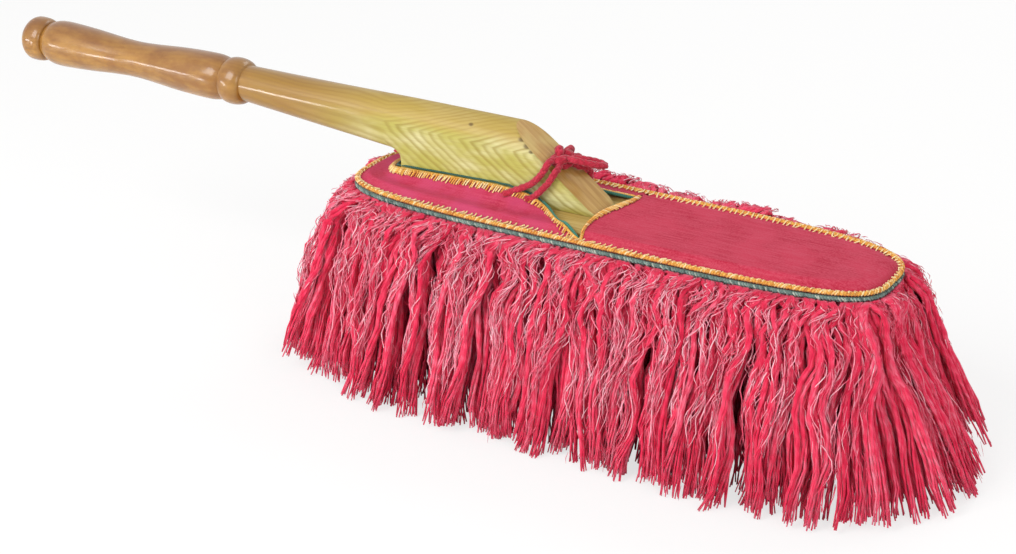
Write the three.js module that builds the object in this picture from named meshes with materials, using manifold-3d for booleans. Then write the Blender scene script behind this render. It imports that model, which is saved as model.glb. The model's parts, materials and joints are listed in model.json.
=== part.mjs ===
// A car duster: a turned wooden handle ends in a wedge-shaped board, which is screwed to a flat base board.
// The base board sits in the pocket of a sewn mop head, and two strings tied over the wedge hold it there.
// Millimetres, +Z up, +X towards the mop head's free end, -Y the near side.
// The origin is on the floor, under the middle of the mop head.
import * as THREE from "three";
import { ConvexGeometry } from "three/addons/geometries/ConvexGeometry.js";
import { mergeVertices } from "three/addons/utils/BufferGeometryUtils.js";
import Module from "manifold-3d";

// Mop head
const COVER_LENGTH = 370;
const COVER_WIDTH = 88;
const OUTLINE_POWER = 3.8; // of the superellipse that the cover's outline follows
const SEAM_HEIGHT = 123; // the sewn edge above the floor
const CLOTH = 1.2;
const FIT = 0.3; // gap between neighbouring pieces

// Base board
const BOARD_THICKNESS = 7;
const BOARD_INSET = 9; // from the cover's outline
const BOARD_RISE = 4.3; // its top above the seam
const BOARD_ROUND = 1.5;

// Wedge, the sawn end of the handle
const WEDGE_THICKNESS = 29;
const WEDGE_LENGTH = 143.5; // along its foot
const WEDGE_TIP_X = -8.5;
const WEDGE_TOP = 54.5; // above the seam
const SLOPE_ANGLE = THREE.MathUtils.degToRad(37.6);
const SLOPE_ROUND = 5; // where the slope meets the top
const TIP_THICKNESS = 0.8;
const HEEL_FILLET = 10; // from the wedge's rear edge into the neck
const NECK_DEPTH = 31.5; // at the heel
const NECK_CORNER = 3; // rounding of the neck's lower corners, at the heel

// Turned part of the handle, measured along its axis from the knob's end
const HANDLE_PITCH = THREE.MathUtils.degToRad(0.5);
const AXIS_DROP = 13.8; // the turning axis below the wedge's top, at the wedge's rear edge
const KNOB_DIAMETER = 31;
const KNOB_CROWN = 10.5; // from the knob's end to its widest ring
const KNOB_LENGTH = 20;
const KNOB_GROOVE_DIAMETER = 24;
const SWELL_DIAMETER = 31.6;
const SWELL_FROM_GROOVE = 13;
const WAIST_DIAMETER = 23.5;
const GRIP_LENGTH = 154;
const BEAD_GROOVE_DIAMETER = 28;
const BEAD_DIAMETER = 32.4;
const BEAD_LENGTH = 17;
const NECK_DIAMETER = 24.5;
const NECK_LENGTH = 130;

// Screws through the base board into the wedge
const SCREW_SPACING = 36;
const SCREW_COUNT = 3;
const FIRST_SCREW_SETBACK = 38; // ahead of the wedge's rear edge
const SCREW_DIAMETER = 4;
const SCREW_HEAD_DIAMETER = 8;
const SCREW_HEAD_HEIGHT = 3;
const SCREW_LENGTH = 22;

// Cover
const EDGE_OUT = 1.6; // how far the edge thread stands outside the outline
const EDGE_WIDTH = 4;
const EDGE_ROUND = 0.7;
const EDGE_RISE = 2.8; // above the seam
const COVER_RIM = 1.2; // top of the cover's rim above the seam
const COVER_RUN = 6; // width of the cover's sloping shoulder
const MOUTH_THREAD = 2.2;
const FLAP_HEIGHT = 14; // top of the flaps above the seam, at their front corners
const FLAP_FALL = 4.5; // how much lower the flaps are behind the wedge
const FLAP_LENGTH = 86; // along the wedge's foot
const FLAP_DROP = 15; // how far behind the slit the cover starts to rise
const SLIT_OVERRUN = 5; // behind the wedge
const FLAP_FOOT_INSET = 10; // from the cover's outline
const MOUTH_FAR = 26; // far end of the opening, from the middle. Its near end is at the seam
const MOUTH_BOW = 4; // how far the front mouth's ends lie ahead of its middle

// Yarn
const TAPE_THICKNESS = 3;
const TAPE_WIDTH = 7.5;
const PAD_GAP = 1.7; // between the tape and the pad's top
const PAD_NECK = 22; // height of the pad's upright top
const PAD_FLARE = 28; // at the floor, beyond the cover's outline
const PAD_TIPS = 1; // least height of the fringe's tips above the floor
const TIP_RAGGED = 8; // how much the strands' lengths differ
const FLARE_FRONT = 66; // of the strands' tips, beyond their roots
const FLARE_REAR = 55;
const FLARE_SIDE = 55;
const FLARE_CORNER = 8; // more at the four corners
const FLARE_POWER = 0.6; // under 1, so that the strands leave the seam outwards and then droop
const ROW_FLARES = [1, 0.8]; // of the outer and the inner row, as a share of the flare
const ROW_ROOTS = [0.25, 0.68]; // in from the tape's outer edge, as a share of its width
const STRAND_RINGS = [0, 0.12, 0.45]; // places of a strand's full sections, as a share of its drop
const STRANDS_PER_ROW = 150;
const STRANDS_PER_END = 10; // in each row of the front and rear fringes
const STRAND_DIAMETER = 2.8;
const STRANDS_PER_LOCK = 4;
const LOCK_PULL = 0.4; // how far the strands of a lock close up at their tips

// Tie strings
const STRING_DIAMETER = 4;
const KNOT_SIZE = new THREE.Vector3(14, 17, 9.6); // along the slope, across it and off it
const KNOT_X = -46;
const KNOT_Y = 3;

const OUTLINE_POINTS = 64;
const ROUND_SIDES = 20;
const MOUTH_STEPS = 8;
const CUT_OVERRUN = 1; // how far a cutting solid reaches past the cut

const wasm = await Module();
wasm.setup();

// Heights that the pieces share
const boardTop = SEAM_HEIGHT + BOARD_RISE;
const boardBottom = boardTop - BOARD_THICKNESS;
const backingTop = boardBottom - FIT;
const backingBottom = backingTop - CLOTH;
const tapeTop = backingBottom - FIT;
const tapeBottom = tapeTop - TAPE_THICKNESS;
const wedgeBottom = boardTop + FIT;
const wedgeTop = SEAM_HEIGHT + WEDGE_TOP;
const coverTop = boardTop + FIT + CLOTH;
const flapTop = SEAM_HEIGHT + FLAP_HEIGHT;

// Places along and across the mop head
const wedgeHalf = WEDGE_THICKNESS / 2;
const wedgeRear = WEDGE_TIP_X - WEDGE_LENGTH;
const flapFront = wedgeRear + FLAP_LENGTH;
const flapSide = wedgeHalf + FIT + MOUTH_THREAD + FIT;
const flapFoot = COVER_WIDTH / 2 - FLAP_FOOT_INSET;
const slitRear = wedgeRear - SLIT_OVERRUN - FIT - MOUTH_THREAD;
const rimInset = EDGE_WIDTH - EDGE_OUT + FIT;
const mouthX = WEDGE_TIP_X + FIT + MOUTH_THREAD / 2;

// A closed geometry as a solid that can be joined and cut.
function solid(geometry) {
  const bare = geometry.index ? geometry.clone() : geometry;
  bare.deleteAttribute("normal");
  bare.deleteAttribute("uv");
  const merged = mergeVertices(bare, 1e-4);
  const vertProperties = new Float32Array(merged.attributes.position.array);
  const triVerts = new Uint32Array(merged.index.array);
  return new wasm.Manifold(new wasm.Mesh({ numProp: 3, vertProperties, triVerts }));
}

function geometryOf(body) {
  const mesh = body.getMesh();
  const geometry = new THREE.BufferGeometry();
  geometry.setAttribute("position", new THREE.BufferAttribute(mesh.vertProperties, 3));
  geometry.setIndex(new THREE.BufferAttribute(mesh.triVerts, 1));
  geometry.computeVertexNormals();
  return geometry;
}

// Rings of equal count, each turning left seen from the end, joined and closed with a fan at both ends.
function loft(rings, startPoint, endPoint) {
  const sides = rings[0].length;
  const points = [...rings.flat(), startPoint, endPoint];
  const start = points.length - 2;
  const end = points.length - 1;
  const last = (rings.length - 1) * sides;
  const faces = [];
  for (let j = 0; j < sides; j++) {
    const next = (j + 1) % sides;
    faces.push(start, next, j, last + j, last + next, end);
    for (let low = 0; low < last; low += sides) {
      const high = low + sides;
      faces.push(low + j, low + next, high + j, low + next, high + next, high + j);
    }
  }
  const geometry = new THREE.BufferGeometry().setFromPoints(points);
  geometry.setIndex(faces);
  return geometry;
}

// A point of the cover's outline, with the outline's outward normal there.
function outlineAt(angle) {
  const cos = Math.cos(angle);
  const sin = Math.sin(angle);
  const size = (Math.abs(cos) ** OUTLINE_POWER + Math.abs(sin) ** OUTLINE_POWER) ** (1 / OUTLINE_POWER);
  const slope = (value) => Math.sign(value) * Math.abs(value / size) ** (OUTLINE_POWER - 1);
  const normal = new THREE.Vector2(slope(cos) / COVER_LENGTH, slope(sin) / COVER_WIDTH).normalize();
  const point = new THREE.Vector2((cos * COVER_LENGTH) / 2, (sin * COVER_WIDTH) / 2).divideScalar(size);
  return { point, normal };
}

// A closed solid from levels of the outline, each moved out by grow and set at height z, lowest first.
function stack(levels) {
  const rings = levels.map(({ grow, z }) =>
    Array.from({ length: OUTLINE_POINTS }, (_, i) => {
      const { point, normal } = outlineAt((2 * Math.PI * i) / OUTLINE_POINTS);
      return new THREE.Vector3(point.x + normal.x * grow, point.y + normal.y * grow, z);
    }),
  );
  const bottom = new THREE.Vector3(0, 0, levels[0].z);
  const top = new THREE.Vector3(0, 0, levels.at(-1).z);
  return solid(loft(rings, bottom, top));
}

// A flat shape extruded along one axis, from one place to another.
const PLAN = new THREE.Matrix4();
const X = new THREE.Vector3(1, 0, 0);
const Y = new THREE.Vector3(0, 1, 0);
const Z = new THREE.Vector3(0, 0, 1);
const SECTION = new THREE.Matrix4().makeBasis(Y, Z, X);
const SIDE = new THREE.Matrix4().makeBasis(X, Z, Y.clone().negate());

function prism(shape, axes, from, to, curveSegments = 8) {
  const geometry = new THREE.ExtrudeGeometry(shape, { depth: to - from, bevelEnabled: false, curveSegments });
  geometry.translate(0, 0, from);
  geometry.applyMatrix4(axes);
  return solid(geometry);
}

function planShape(points) {
  return new THREE.Shape(points.map(([x, y]) => new THREE.Vector2(x, y)));
}

// A tube along a curve through the points.
function tube(curve, diameter, steps, sides = 8) {
  const circle = new THREE.Shape(
    Array.from({ length: sides }, (_, i) => {
      const angle = (2 * Math.PI * i) / sides;
      return new THREE.Vector2(Math.cos(angle), Math.sin(angle)).multiplyScalar(diameter / 2);
    }),
  );
  return solid(new THREE.ExtrudeGeometry(circle, { extrudePath: curve, steps }));
}

const model = new THREE.Group();

function addNode(name, body, colour, roughness) {
  const material = new THREE.MeshStandardMaterial({ color: colour, roughness, metalness: 0 });
  const mesh = new THREE.Mesh(geometryOf(body), material);
  mesh.name = name;
  model.add(mesh);
  return mesh;
}

const VARNISHED_WOOD = "#d9a755";
const BARE_WOOD = "#e0c98a";
const CRIMSON_CLOTH = "#d63e60";
const CRIMSON_YARN = "#cf3052";
const YELLOW_THREAD = "#f0b840";
const GREEN_THREAD = "#4f7f78";

// Screws. Grown by FIT, the same profile cuts their holes.
function screwAt(x, grow) {
  const shank = SCREW_DIAMETER / 2 + grow;
  const head = SCREW_HEAD_DIAMETER / 2 + grow;
  const tip = SCREW_LENGTH + grow;
  const profile = [
    [0, -grow],
    [head, -grow],
    [shank, SCREW_HEAD_HEIGHT],
    [shank, tip - SCREW_DIAMETER],
    [0, tip],
  ];
  const points = profile.map(([radius, height]) => new THREE.Vector2(radius, height));
  const geometry = new THREE.LatheGeometry(points, ROUND_SIDES / 2);
  geometry.rotateX(Math.PI / 2);
  geometry.translate(x, 0, boardBottom);
  return solid(geometry);
}

const screwPlaces = Array.from(
  { length: SCREW_COUNT },
  (_, i) => wedgeRear + FIRST_SCREW_SETBACK + i * SCREW_SPACING,
);

function cutScrewHoles(body) {
  return screwPlaces.reduce((rest, x) => rest.subtract(screwAt(x, FIT)), body);
}

// Handle: the knob, grip and bead are turned, the neck is shaped by hand and the wedge is sawn.
const neckRadius = NECK_DIAMETER / 2;
const neckStart = wedgeRear - NECK_LENGTH;
const turnedLength = KNOB_LENGTH + GRIP_LENGTH + BEAD_LENGTH;

// The turning axis rises towards the knob.
function axisHeight(x) {
  return wedgeTop - AXIS_DROP + (wedgeRear - x) * Math.tan(HANDLE_PITCH);
}

function turnedHandle() {
  const grooveEnd = KNOB_LENGTH + GRIP_LENGTH;
  const swell = KNOB_LENGTH + SWELL_FROM_GROOVE;
  const secondSwell = grooveEnd - SWELL_FROM_GROOVE;
  const knobRadius = KNOB_DIAMETER / 2;
  const beadFoot = neckRadius - FIT; // just inside the neck
  const beadReach = (BEAD_DIAMETER * 4 - BEAD_GROOVE_DIAMETER / 2 - beadFoot) / 6;
  const profile = new THREE.Path();
  profile.absellipse(0, KNOB_CROWN, knobRadius, KNOB_CROWN, -Math.PI / 2, 0, false);
  profile.quadraticCurveTo(knobRadius, KNOB_LENGTH, KNOB_GROOVE_DIAMETER / 2, KNOB_LENGTH);
  profile.splineThru([
    new THREE.Vector2(SWELL_DIAMETER / 2, swell),
    new THREE.Vector2(WAIST_DIAMETER / 2, (swell + secondSwell) / 2),
    new THREE.Vector2(SWELL_DIAMETER / 2, secondSwell),
    new THREE.Vector2(BEAD_GROOVE_DIAMETER / 2, grooveEnd),
  ]);
  profile.bezierCurveTo(beadReach, grooveEnd, beadReach, turnedLength, beadFoot, turnedLength);
  profile.lineTo(0, turnedLength);
  const geometry = new THREE.LatheGeometry(profile.getPoints(5), ROUND_SIDES);
  geometry.rotateZ(-Math.PI / 2);
  geometry.translate(-turnedLength, 0, 0);
  geometry.rotateY(HANDLE_PITCH);
  geometry.translate(neckStart, 0, axisHeight(neckStart));
  return solid(geometry);
}

// The neck starts round inside the bead and ends as the wedge's arch, with a fillet at the heel.
function shapedNeck() {
  const heelX = wedgeRear - HEEL_FILLET;
  const heelBottom = wedgeTop - NECK_DEPTH;
  const ring = (x, drop) => {
    const share = Math.max(0, (x - neckStart) / NECK_LENGTH);
    const deep = Math.min(1, Math.max(0, (x - neckStart) / (heelX - neckStart)));
    const half = THREE.MathUtils.lerp(neckRadius, wedgeHalf, share);
    const top = THREE.MathUtils.lerp(axisHeight(x) + neckRadius, wedgeTop, share);
    const bottom = THREE.MathUtils.lerp(axisHeight(x) - neckRadius, heelBottom, deep) - drop;
    const corner = THREE.MathUtils.lerp(half - FIT, NECK_CORNER, share);
    const section = new THREE.Shape();
    section.absarc(0, top - half, half, 0, Math.PI, false);
    section.absarc(-half + corner, bottom + corner, corner, Math.PI, 1.5 * Math.PI, false);
    section.absarc(half - corner, bottom + corner, corner, 1.5 * Math.PI, 2 * Math.PI, false);
    return section.getPoints(8).slice(0, -1).map(({ x: y, y: z }) => new THREE.Vector3(x, y, z));
  };
  const along = [-BEAD_LENGTH / 2, 0, 0.2, 0.4, 0.6, 0.8, 1].map((share) =>
    ring(share < 0 ? neckStart + share : THREE.MathUtils.lerp(neckStart, heelX, share), 0),
  );
  const heel = [22.5, 45, 67.5, 90].map((degrees) => {
    const angle = THREE.MathUtils.degToRad(degrees);
    return ring(heelX + HEEL_FILLET * Math.sin(angle), HEEL_FILLET * (1 - Math.cos(angle)));
  });
  const start = new THREE.Vector3(along[0][0].x, 0, axisHeight(neckStart));
  const end = new THREE.Vector3(wedgeRear, 0, wedgeTop - wedgeHalf);
  return solid(loft([...along, ...heel], start, end));
}

// The slope runs down from the wedge's top to the blunt tip of its foot.
function slopeHeight(x) {
  return wedgeBottom + TIP_THICKNESS + (WEDGE_TIP_X - x) * Math.tan(SLOPE_ANGLE);
}

function sawnWedge() {
  const slopeTopX = WEDGE_TIP_X - (wedgeTop - wedgeBottom - TIP_THICKNESS) / Math.tan(SLOPE_ANGLE);
  const roundX = slopeTopX + SLOPE_ROUND * Math.cos(SLOPE_ANGLE);
  const side = new THREE.Shape();
  side.moveTo(wedgeRear, wedgeBottom);
  side.lineTo(WEDGE_TIP_X, wedgeBottom);
  side.lineTo(WEDGE_TIP_X, wedgeBottom + TIP_THICKNESS);
  side.lineTo(roundX, slopeHeight(roundX));
  side.quadraticCurveTo(slopeTopX, wedgeTop, slopeTopX - SLOPE_ROUND, wedgeTop);
  side.lineTo(wedgeRear, wedgeTop);
  const section = new THREE.Shape();
  section.moveTo(-wedgeHalf, wedgeBottom);
  section.lineTo(wedgeHalf, wedgeBottom);
  section.absarc(0, wedgeTop - wedgeHalf, wedgeHalf, 0, Math.PI, false);
  return prism(side, SIDE, -wedgeHalf, wedgeHalf).intersect(prism(section, SECTION, wedgeRear, WEDGE_TIP_X));
}

const handleBody = wasm.Manifold.union([turnedHandle(), shapedNeck(), sawnWedge()]);
addNode("handle", cutScrewHoles(handleBody), VARNISHED_WOOD, 0.3);

// Base board, with rounded edges
const boardBody = stack([
  { grow: -BOARD_INSET - BOARD_ROUND, z: boardBottom },
  { grow: -BOARD_INSET, z: boardBottom + BOARD_ROUND },
  { grow: -BOARD_INSET, z: boardTop - BOARD_ROUND },
  { grow: -BOARD_INSET - BOARD_ROUND, z: boardTop },
]);
addNode("base_board", cutScrewHoles(boardBody), BARE_WOOD, 0.7);

screwPlaces.forEach((x, i) => {
  addNode(`base_screw_${i + 1}`, screwAt(x, 0), "#b9b9b2", 0.35).material.metalness = 1;
});

// Cover: a shell that slopes from the seam to the board's top, lifted like a tent where the flaps climb the wedge.
function coverSolid(wall) {
  const edge = -rimInset - wall;
  const shell = stack([
    { grow: edge, z: SEAM_HEIGHT - wall },
    { grow: edge, z: SEAM_HEIGHT + COVER_RIM - wall },
    { grow: edge - COVER_RUN, z: coverTop - wall },
  ]);
  const foot = coverTop - CLOTH - wall;
  const corners = [-1, 1].flatMap((side) => [
    new THREE.Vector3(slitRear, side * flapSide, flapTop - FLAP_FALL - wall),
    new THREE.Vector3(flapFront, side * flapSide, flapTop - wall),
    new THREE.Vector3(slitRear - FLAP_DROP, side * flapSide, foot),
    new THREE.Vector3(wedgeRear + FLAP_DROP, side * flapFoot, foot),
    new THREE.Vector3(flapFront + FLAP_LENGTH / 2, side * flapFoot, foot),
  ]);
  return shell.add(solid(new ConvexGeometry(corners)));
}

const coverShell = coverSolid(0).subtract(coverSolid(CLOTH));
const past = COVER_LENGTH; // well outside the outline
const mouthHalf = COVER_WIDTH / 2;
const frontEdgeX = mouthX + MOUTH_THREAD / 2 + FIT;

// The front mouth's line, bowed forward at its ends.
function mouthLine(y) {
  return MOUTH_BOW * (y / mouthHalf) ** 2;
}

const rearPlan = planShape([
  [-past, -past],
  [WEDGE_TIP_X, -past],
  [WEDGE_TIP_X, -mouthHalf],
  [flapFront, -flapSide],
  [slitRear, -flapSide],
  [slitRear, flapSide],
  [flapFront, flapSide],
  [WEDGE_TIP_X, MOUTH_FAR],
  [WEDGE_TIP_X, past],
  [-past, past],
]);
const mouthSteps = Array.from({ length: MOUTH_STEPS + 1 }, (_, i) => mouthHalf * (1 - (2 * i) / MOUTH_STEPS));
const frontPlan = planShape([
  [past, -past],
  [past, past],
  [frontEdgeX + MOUTH_BOW, past],
  ...mouthSteps.map((y) => [frontEdgeX + mouthLine(y), y]),
  [frontEdgeX + MOUTH_BOW, -past],
]);
const rearCover = coverShell.intersect(prism(rearPlan, PLAN, 0, flapTop + past));
const frontCover = coverShell.intersect(prism(frontPlan, PLAN, 0, flapTop + past));
addNode("rear_cover", rearCover, CRIMSON_CLOTH, 0.8);
addNode("front_cover", frontCover, CRIMSON_CLOTH, 0.8);

const backing = stack([
  { grow: -rimInset, z: backingBottom },
  { grow: -rimInset, z: backingTop },
]);
addNode("backing_cloth", backing, CRIMSON_CLOTH, 0.85);

// Overlock threads round the outer edge, one over the other
function edgeRing(bottom, top) {
  const inner = EDGE_OUT - EDGE_WIDTH;
  const outside = stack([
    { grow: EDGE_OUT - EDGE_ROUND, z: bottom },
    { grow: EDGE_OUT, z: bottom + EDGE_ROUND },
    { grow: EDGE_OUT, z: top - EDGE_ROUND },
    { grow: EDGE_OUT - EDGE_ROUND, z: top },
  ]);
  const hole = stack([
    { grow: inner, z: bottom - CUT_OVERRUN },
    { grow: inner, z: top + CUT_OVERRUN },
  ]);
  return outside.subtract(hole);
}

const edgeTop = SEAM_HEIGHT + EDGE_RISE;
const edgeMiddle = (edgeTop + backingBottom) / 2;
addNode("edge_thread_upper", edgeRing(edgeMiddle + FIT / 2, edgeTop), YELLOW_THREAD, 0.75);
addNode("edge_thread_lower", edgeRing(backingBottom, edgeMiddle - FIT / 2), GREEN_THREAD, 0.75);

// Overlocked edges of the opening. Each lies along its cloth's cut edge.
const threadRadius = MOUTH_THREAD / 2;
const threadEndY = COVER_WIDTH / 2 + EDGE_OUT - EDGE_WIDTH - FIT - threadRadius;
const overBoard = boardTop + FIT + threadRadius;

function flapEdge(side, mouthEnd, threadEnd, endHeight) {
  const along = new THREE.Vector2(WEDGE_TIP_X - flapFront, mouthEnd - flapSide).normalize();
  const off = threadRadius + FIT;
  const place = (share, z) => {
    const y = THREE.MathUtils.lerp(flapSide, threadEnd + off, share) - off * along.x;
    const reach = (y + off * along.x - flapSide) / (mouthEnd - flapSide);
    const x = THREE.MathUtils.lerp(flapFront, WEDGE_TIP_X, reach) + off * along.y;
    return new THREE.Vector3(x, side * y, z);
  };
  const high = flapTop - threadRadius;
  const sideY = side * (wedgeHalf + FIT + threadRadius);
  const rear = wedgeRear - SLIT_OVERRUN - FIT - threadRadius;
  return [
    place(1, endHeight),
    place(0.7, overBoard + CLOTH / 2),
    place(0.4, THREE.MathUtils.lerp(high, overBoard, 0.5)),
    place(0.15, high),
    new THREE.Vector3(flapFront, sideY, high),
    new THREE.Vector3(wedgeRear - SLIT_OVERRUN / 2, sideY, high - FLAP_FALL),
    new THREE.Vector3(rear, sideY - side * SLIT_OVERRUN, high - FLAP_FALL),
  ];
}

const nearEdge = flapEdge(-1, mouthHalf, threadEndY, SEAM_HEIGHT + COVER_RIM);
const farEdge = flapEdge(1, MOUTH_FAR, MOUTH_FAR - MOUTH_THREAD, overBoard + CLOTH / 2);
const rearMouth = [...nearEdge, ...farEdge.reverse()];
const frontMouth = [-1, -0.85, -0.5, 0, 0.5, 0.85, 1].map((share) => {
  const y = share * threadEndY;
  const z = Math.abs(share) === 1 ? SEAM_HEIGHT + COVER_RIM : overBoard;
  return new THREE.Vector3(mouthX + mouthLine(y), y, z);
});
const STIFF = 0.15; // how far the threads' corners are rounded
const threadAlong = (points) => new THREE.CatmullRomCurve3(points, false, "catmullrom", STIFF);
addNode("rear_mouth_thread", tube(threadAlong(rearMouth), MOUTH_THREAD, 60, 6), YELLOW_THREAD, 0.75);
addNode("front_mouth_thread", tube(threadAlong(frontMouth), MOUTH_THREAD, 24, 6), YELLOW_THREAD, 0.75);

// Inner rows of yarn, the pad that the duster rests on. Its upright top leaves room for the fringe's tapes to swing.
const tapeInner = FIT + TAPE_WIDTH;
const padInset = tapeInner + PAD_GAP;
const padFlares = [1, 0.6, 0.3, 0.1, 0].map((share) => ({
  grow: -padInset + (PAD_FLARE + padInset) * share ** FLARE_POWER,
  z: (tapeTop - PAD_NECK) * (1 - share),
}));
const pad = stack([...padFlares, { grow: -padInset, z: tapeTop }]);
addNode("inner_yarn_pad", pad, CRIMSON_YARN, 0.95);

// Fringe. Two rows of strands come out of a tape under the cover's edge, arch outwards and hang in locks.
const ARC_SAMPLES = 1440;
const arcAngles = Array.from({ length: ARC_SAMPLES + 1 }, (_, i) => (2 * Math.PI * i) / ARC_SAMPLES);
const arcLengths = [0];
arcAngles.slice(1).forEach((angle, i) => {
  const step = outlineAt(angle).point.distanceTo(outlineAt(arcAngles[i]).point);
  arcLengths.push(arcLengths[i] + step);
});
const perimeter = arcLengths.at(-1);

// The outline at a share of the way round its edge, from the middle of the front.
function outlineAlong(share) {
  const target = (share - Math.floor(share)) * perimeter;
  const after = Math.max(1, arcLengths.findIndex((length) => length >= target));
  const part = (target - arcLengths[after - 1]) / (arcLengths[after] - arcLengths[after - 1]);
  return outlineAt(THREE.MathUtils.lerp(arcAngles[after - 1], arcAngles[after], part));
}

function scatter(seed) {
  const wave = Math.sin(seed * 12.9898) * 43758.5453;
  return wave - Math.floor(wave);
}

const endShare = STRANDS_PER_END / STRANDS_PER_ROW / 2; // half an end fringe, as a share of the way round
const fringes = { fringe_near: [], fringe_far: [], fringe_front: [], fringe_rear: [] };

function fringeOf(share) {
  if (share < endShare || share > 1 - endShare) {
    return "fringe_front";
  }
  if (Math.abs(share - 0.5) < endShare) {
    return "fringe_rear";
  }
  return share < 0.5 ? "fringe_far" : "fringe_near";
}

// One strand, with three sides and a pointed tip.
function strand(place, drop, row, drift) {
  const { point, normal } = place;
  const tangent = new THREE.Vector3(-normal.y, normal.x, 0);
  const flareEnd = normal.x > 0 ? FLARE_FRONT : FLARE_REAR;
  const corner = FLARE_CORNER * (2 * normal.x * normal.y) ** 2;
  const flare = (FLARE_SIDE * normal.y ** 2 + flareEnd * normal.x ** 2 + corner) * ROW_FLARES[row];
  const rootInset = FIT + TAPE_WIDTH * ROW_ROOTS[row];
  const rootZ = (tapeTop + tapeBottom) / 2;
  const centre = (share) => {
    const out = flare * share ** FLARE_POWER - rootInset;
    const spot = new THREE.Vector3(point.x + normal.x * out, point.y + normal.y * out, rootZ - drop * share);
    return spot.addScaledVector(tangent, drift * share);
  };
  const rings = STRAND_RINGS.map((share, i) => {
    const before = STRAND_RINGS[i - 1] ?? 0;
    const after = STRAND_RINGS[i + 1] ?? 1;
    const along = centre(after).sub(centre(before)).normalize();
    const across = along.clone().cross(tangent);
    return [90, 210, 330].map((degrees) => {
      const angle = THREE.MathUtils.degToRad(degrees);
      return centre(share)
        .addScaledVector(tangent, (Math.cos(angle) * STRAND_DIAMETER) / 2)
        .addScaledVector(across, (Math.sin(angle) * STRAND_DIAMETER) / 2);
    });
  });
  return solid(loft(rings, centre(0), centre(1)));
}

for (let row = 0; row < ROW_FLARES.length; row++) {
  for (let i = 0; i < STRANDS_PER_ROW; i++) {
    const share = (i + (row + 0.5) / ROW_FLARES.length) / STRANDS_PER_ROW;
    const place = outlineAlong(share);
    const toEnd = Math.abs((share % 0.5) - endShare) * STRANDS_PER_ROW;
    const toOtherEnd = Math.abs((share % 0.5) - 0.5 + endShare) * STRANDS_PER_ROW;
    const fromLock = (i % STRANDS_PER_LOCK) - (STRANDS_PER_LOCK - 1) / 2;
    const besideGap = Math.min(toEnd, toOtherEnd) < 1;
    const drift = besideGap ? 0 : -fromLock * LOCK_PULL * (perimeter / STRANDS_PER_ROW);
    const drop = (tapeTop + tapeBottom) / 2 - PAD_TIPS - TIP_RAGGED * scatter(i + row * STRANDS_PER_ROW + 1);
    fringes[fringeOf(share)].push(strand(place, drop, row, drift));
  }
}

const tapeRing = stack([
  { grow: -FIT, z: tapeBottom },
  { grow: -FIT, z: tapeTop },
]).subtract(
  stack([
    { grow: -tapeInner, z: tapeBottom - CUT_OVERRUN },
    { grow: -tapeInner, z: tapeTop + CUT_OVERRUN },
  ]),
);

// The end of the mop head, front or rear, cut off square to the outline at both corners.
function endBlock(middle, gap) {
  const half = endShare + gap / perimeter;
  const corners = [middle - half, middle + half].map(outlineAlong);
  const reach = 3 * TAPE_WIDTH;
  const [a, b] = corners.map(({ point, normal }) => point.clone().addScaledVector(normal, -reach));
  const [c, d] = corners.map(({ point, normal }) => point.clone().addScaledVector(normal, reach));
  const shape = new THREE.Shape([a, c, d, b]);
  return prism(shape, PLAN, 0, SEAM_HEIGHT);
}

function halfBlock(side) {
  const shape = planShape([
    [-past, 0],
    [past, 0],
    [past, side * past],
    [-past, side * past],
  ]);
  return prism(shape, PLAN, 0, SEAM_HEIGHT);
}

const sideTape = tapeRing.subtract(endBlock(0, FIT)).subtract(endBlock(0.5, FIT));
const tapes = {
  fringe_near: sideTape.intersect(halfBlock(-1)),
  fringe_far: sideTape.intersect(halfBlock(1)),
  fringe_front: tapeRing.intersect(endBlock(0, -FIT)),
  fringe_rear: tapeRing.intersect(endBlock(0.5, -FIT)),
};

for (const [name, strands] of Object.entries(fringes)) {
  const body = wasm.Manifold.union([tapes[name], ...strands]);
  addNode(name, body, CRIMSON_YARN, 0.95);
}

// Tie strings. Two come from each flap and meet in a knot on the slope, with one loop and one tail.
const knotLift = KNOT_SIZE.z / 2 + FIT;
const knotCentre = new THREE.Vector3(
  KNOT_X + Math.sin(SLOPE_ANGLE) * knotLift,
  KNOT_Y,
  slopeHeight(KNOT_X) + Math.cos(SLOPE_ANGLE) * knotLift,
);

function knot(grow) {
  const geometry = new THREE.SphereGeometry(0.5, 14, 10);
  geometry.scale(KNOT_SIZE.x + 2 * grow, KNOT_SIZE.y + 2 * grow, KNOT_SIZE.z + 2 * grow);
  geometry.rotateY(SLOPE_ANGLE);
  geometry.translate(knotCentre.x, knotCentre.y, knotCentre.z);
  return solid(geometry);
}

// Places for the strings' middles: on the flap's front corner, beside the wedge and over its slope.
const stringRadius = STRING_DIAMETER / 2;
const besideWedge = wedgeHalf + stringRadius + 3 * FIT;

function onFlap(side, ahead, out, up) {
  return new THREE.Vector3(flapFront + ahead, side * (flapSide + out), flapTop + up);
}

function beside(side, ahead, climb) {
  const x = KNOT_X + ahead;
  return new THREE.Vector3(x, side * besideWedge, THREE.MathUtils.lerp(flapTop, slopeHeight(x), climb));
}

function overSlope(ahead, y, lift) {
  const x = KNOT_X + ahead;
  return new THREE.Vector3(x, y, slopeHeight(x) + (stringRadius + lift) / Math.cos(SLOPE_ANGLE));
}

const fromKnot = (x, y, z) => new THREE.Vector3(x, y, z).add(knotCentre);

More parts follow.
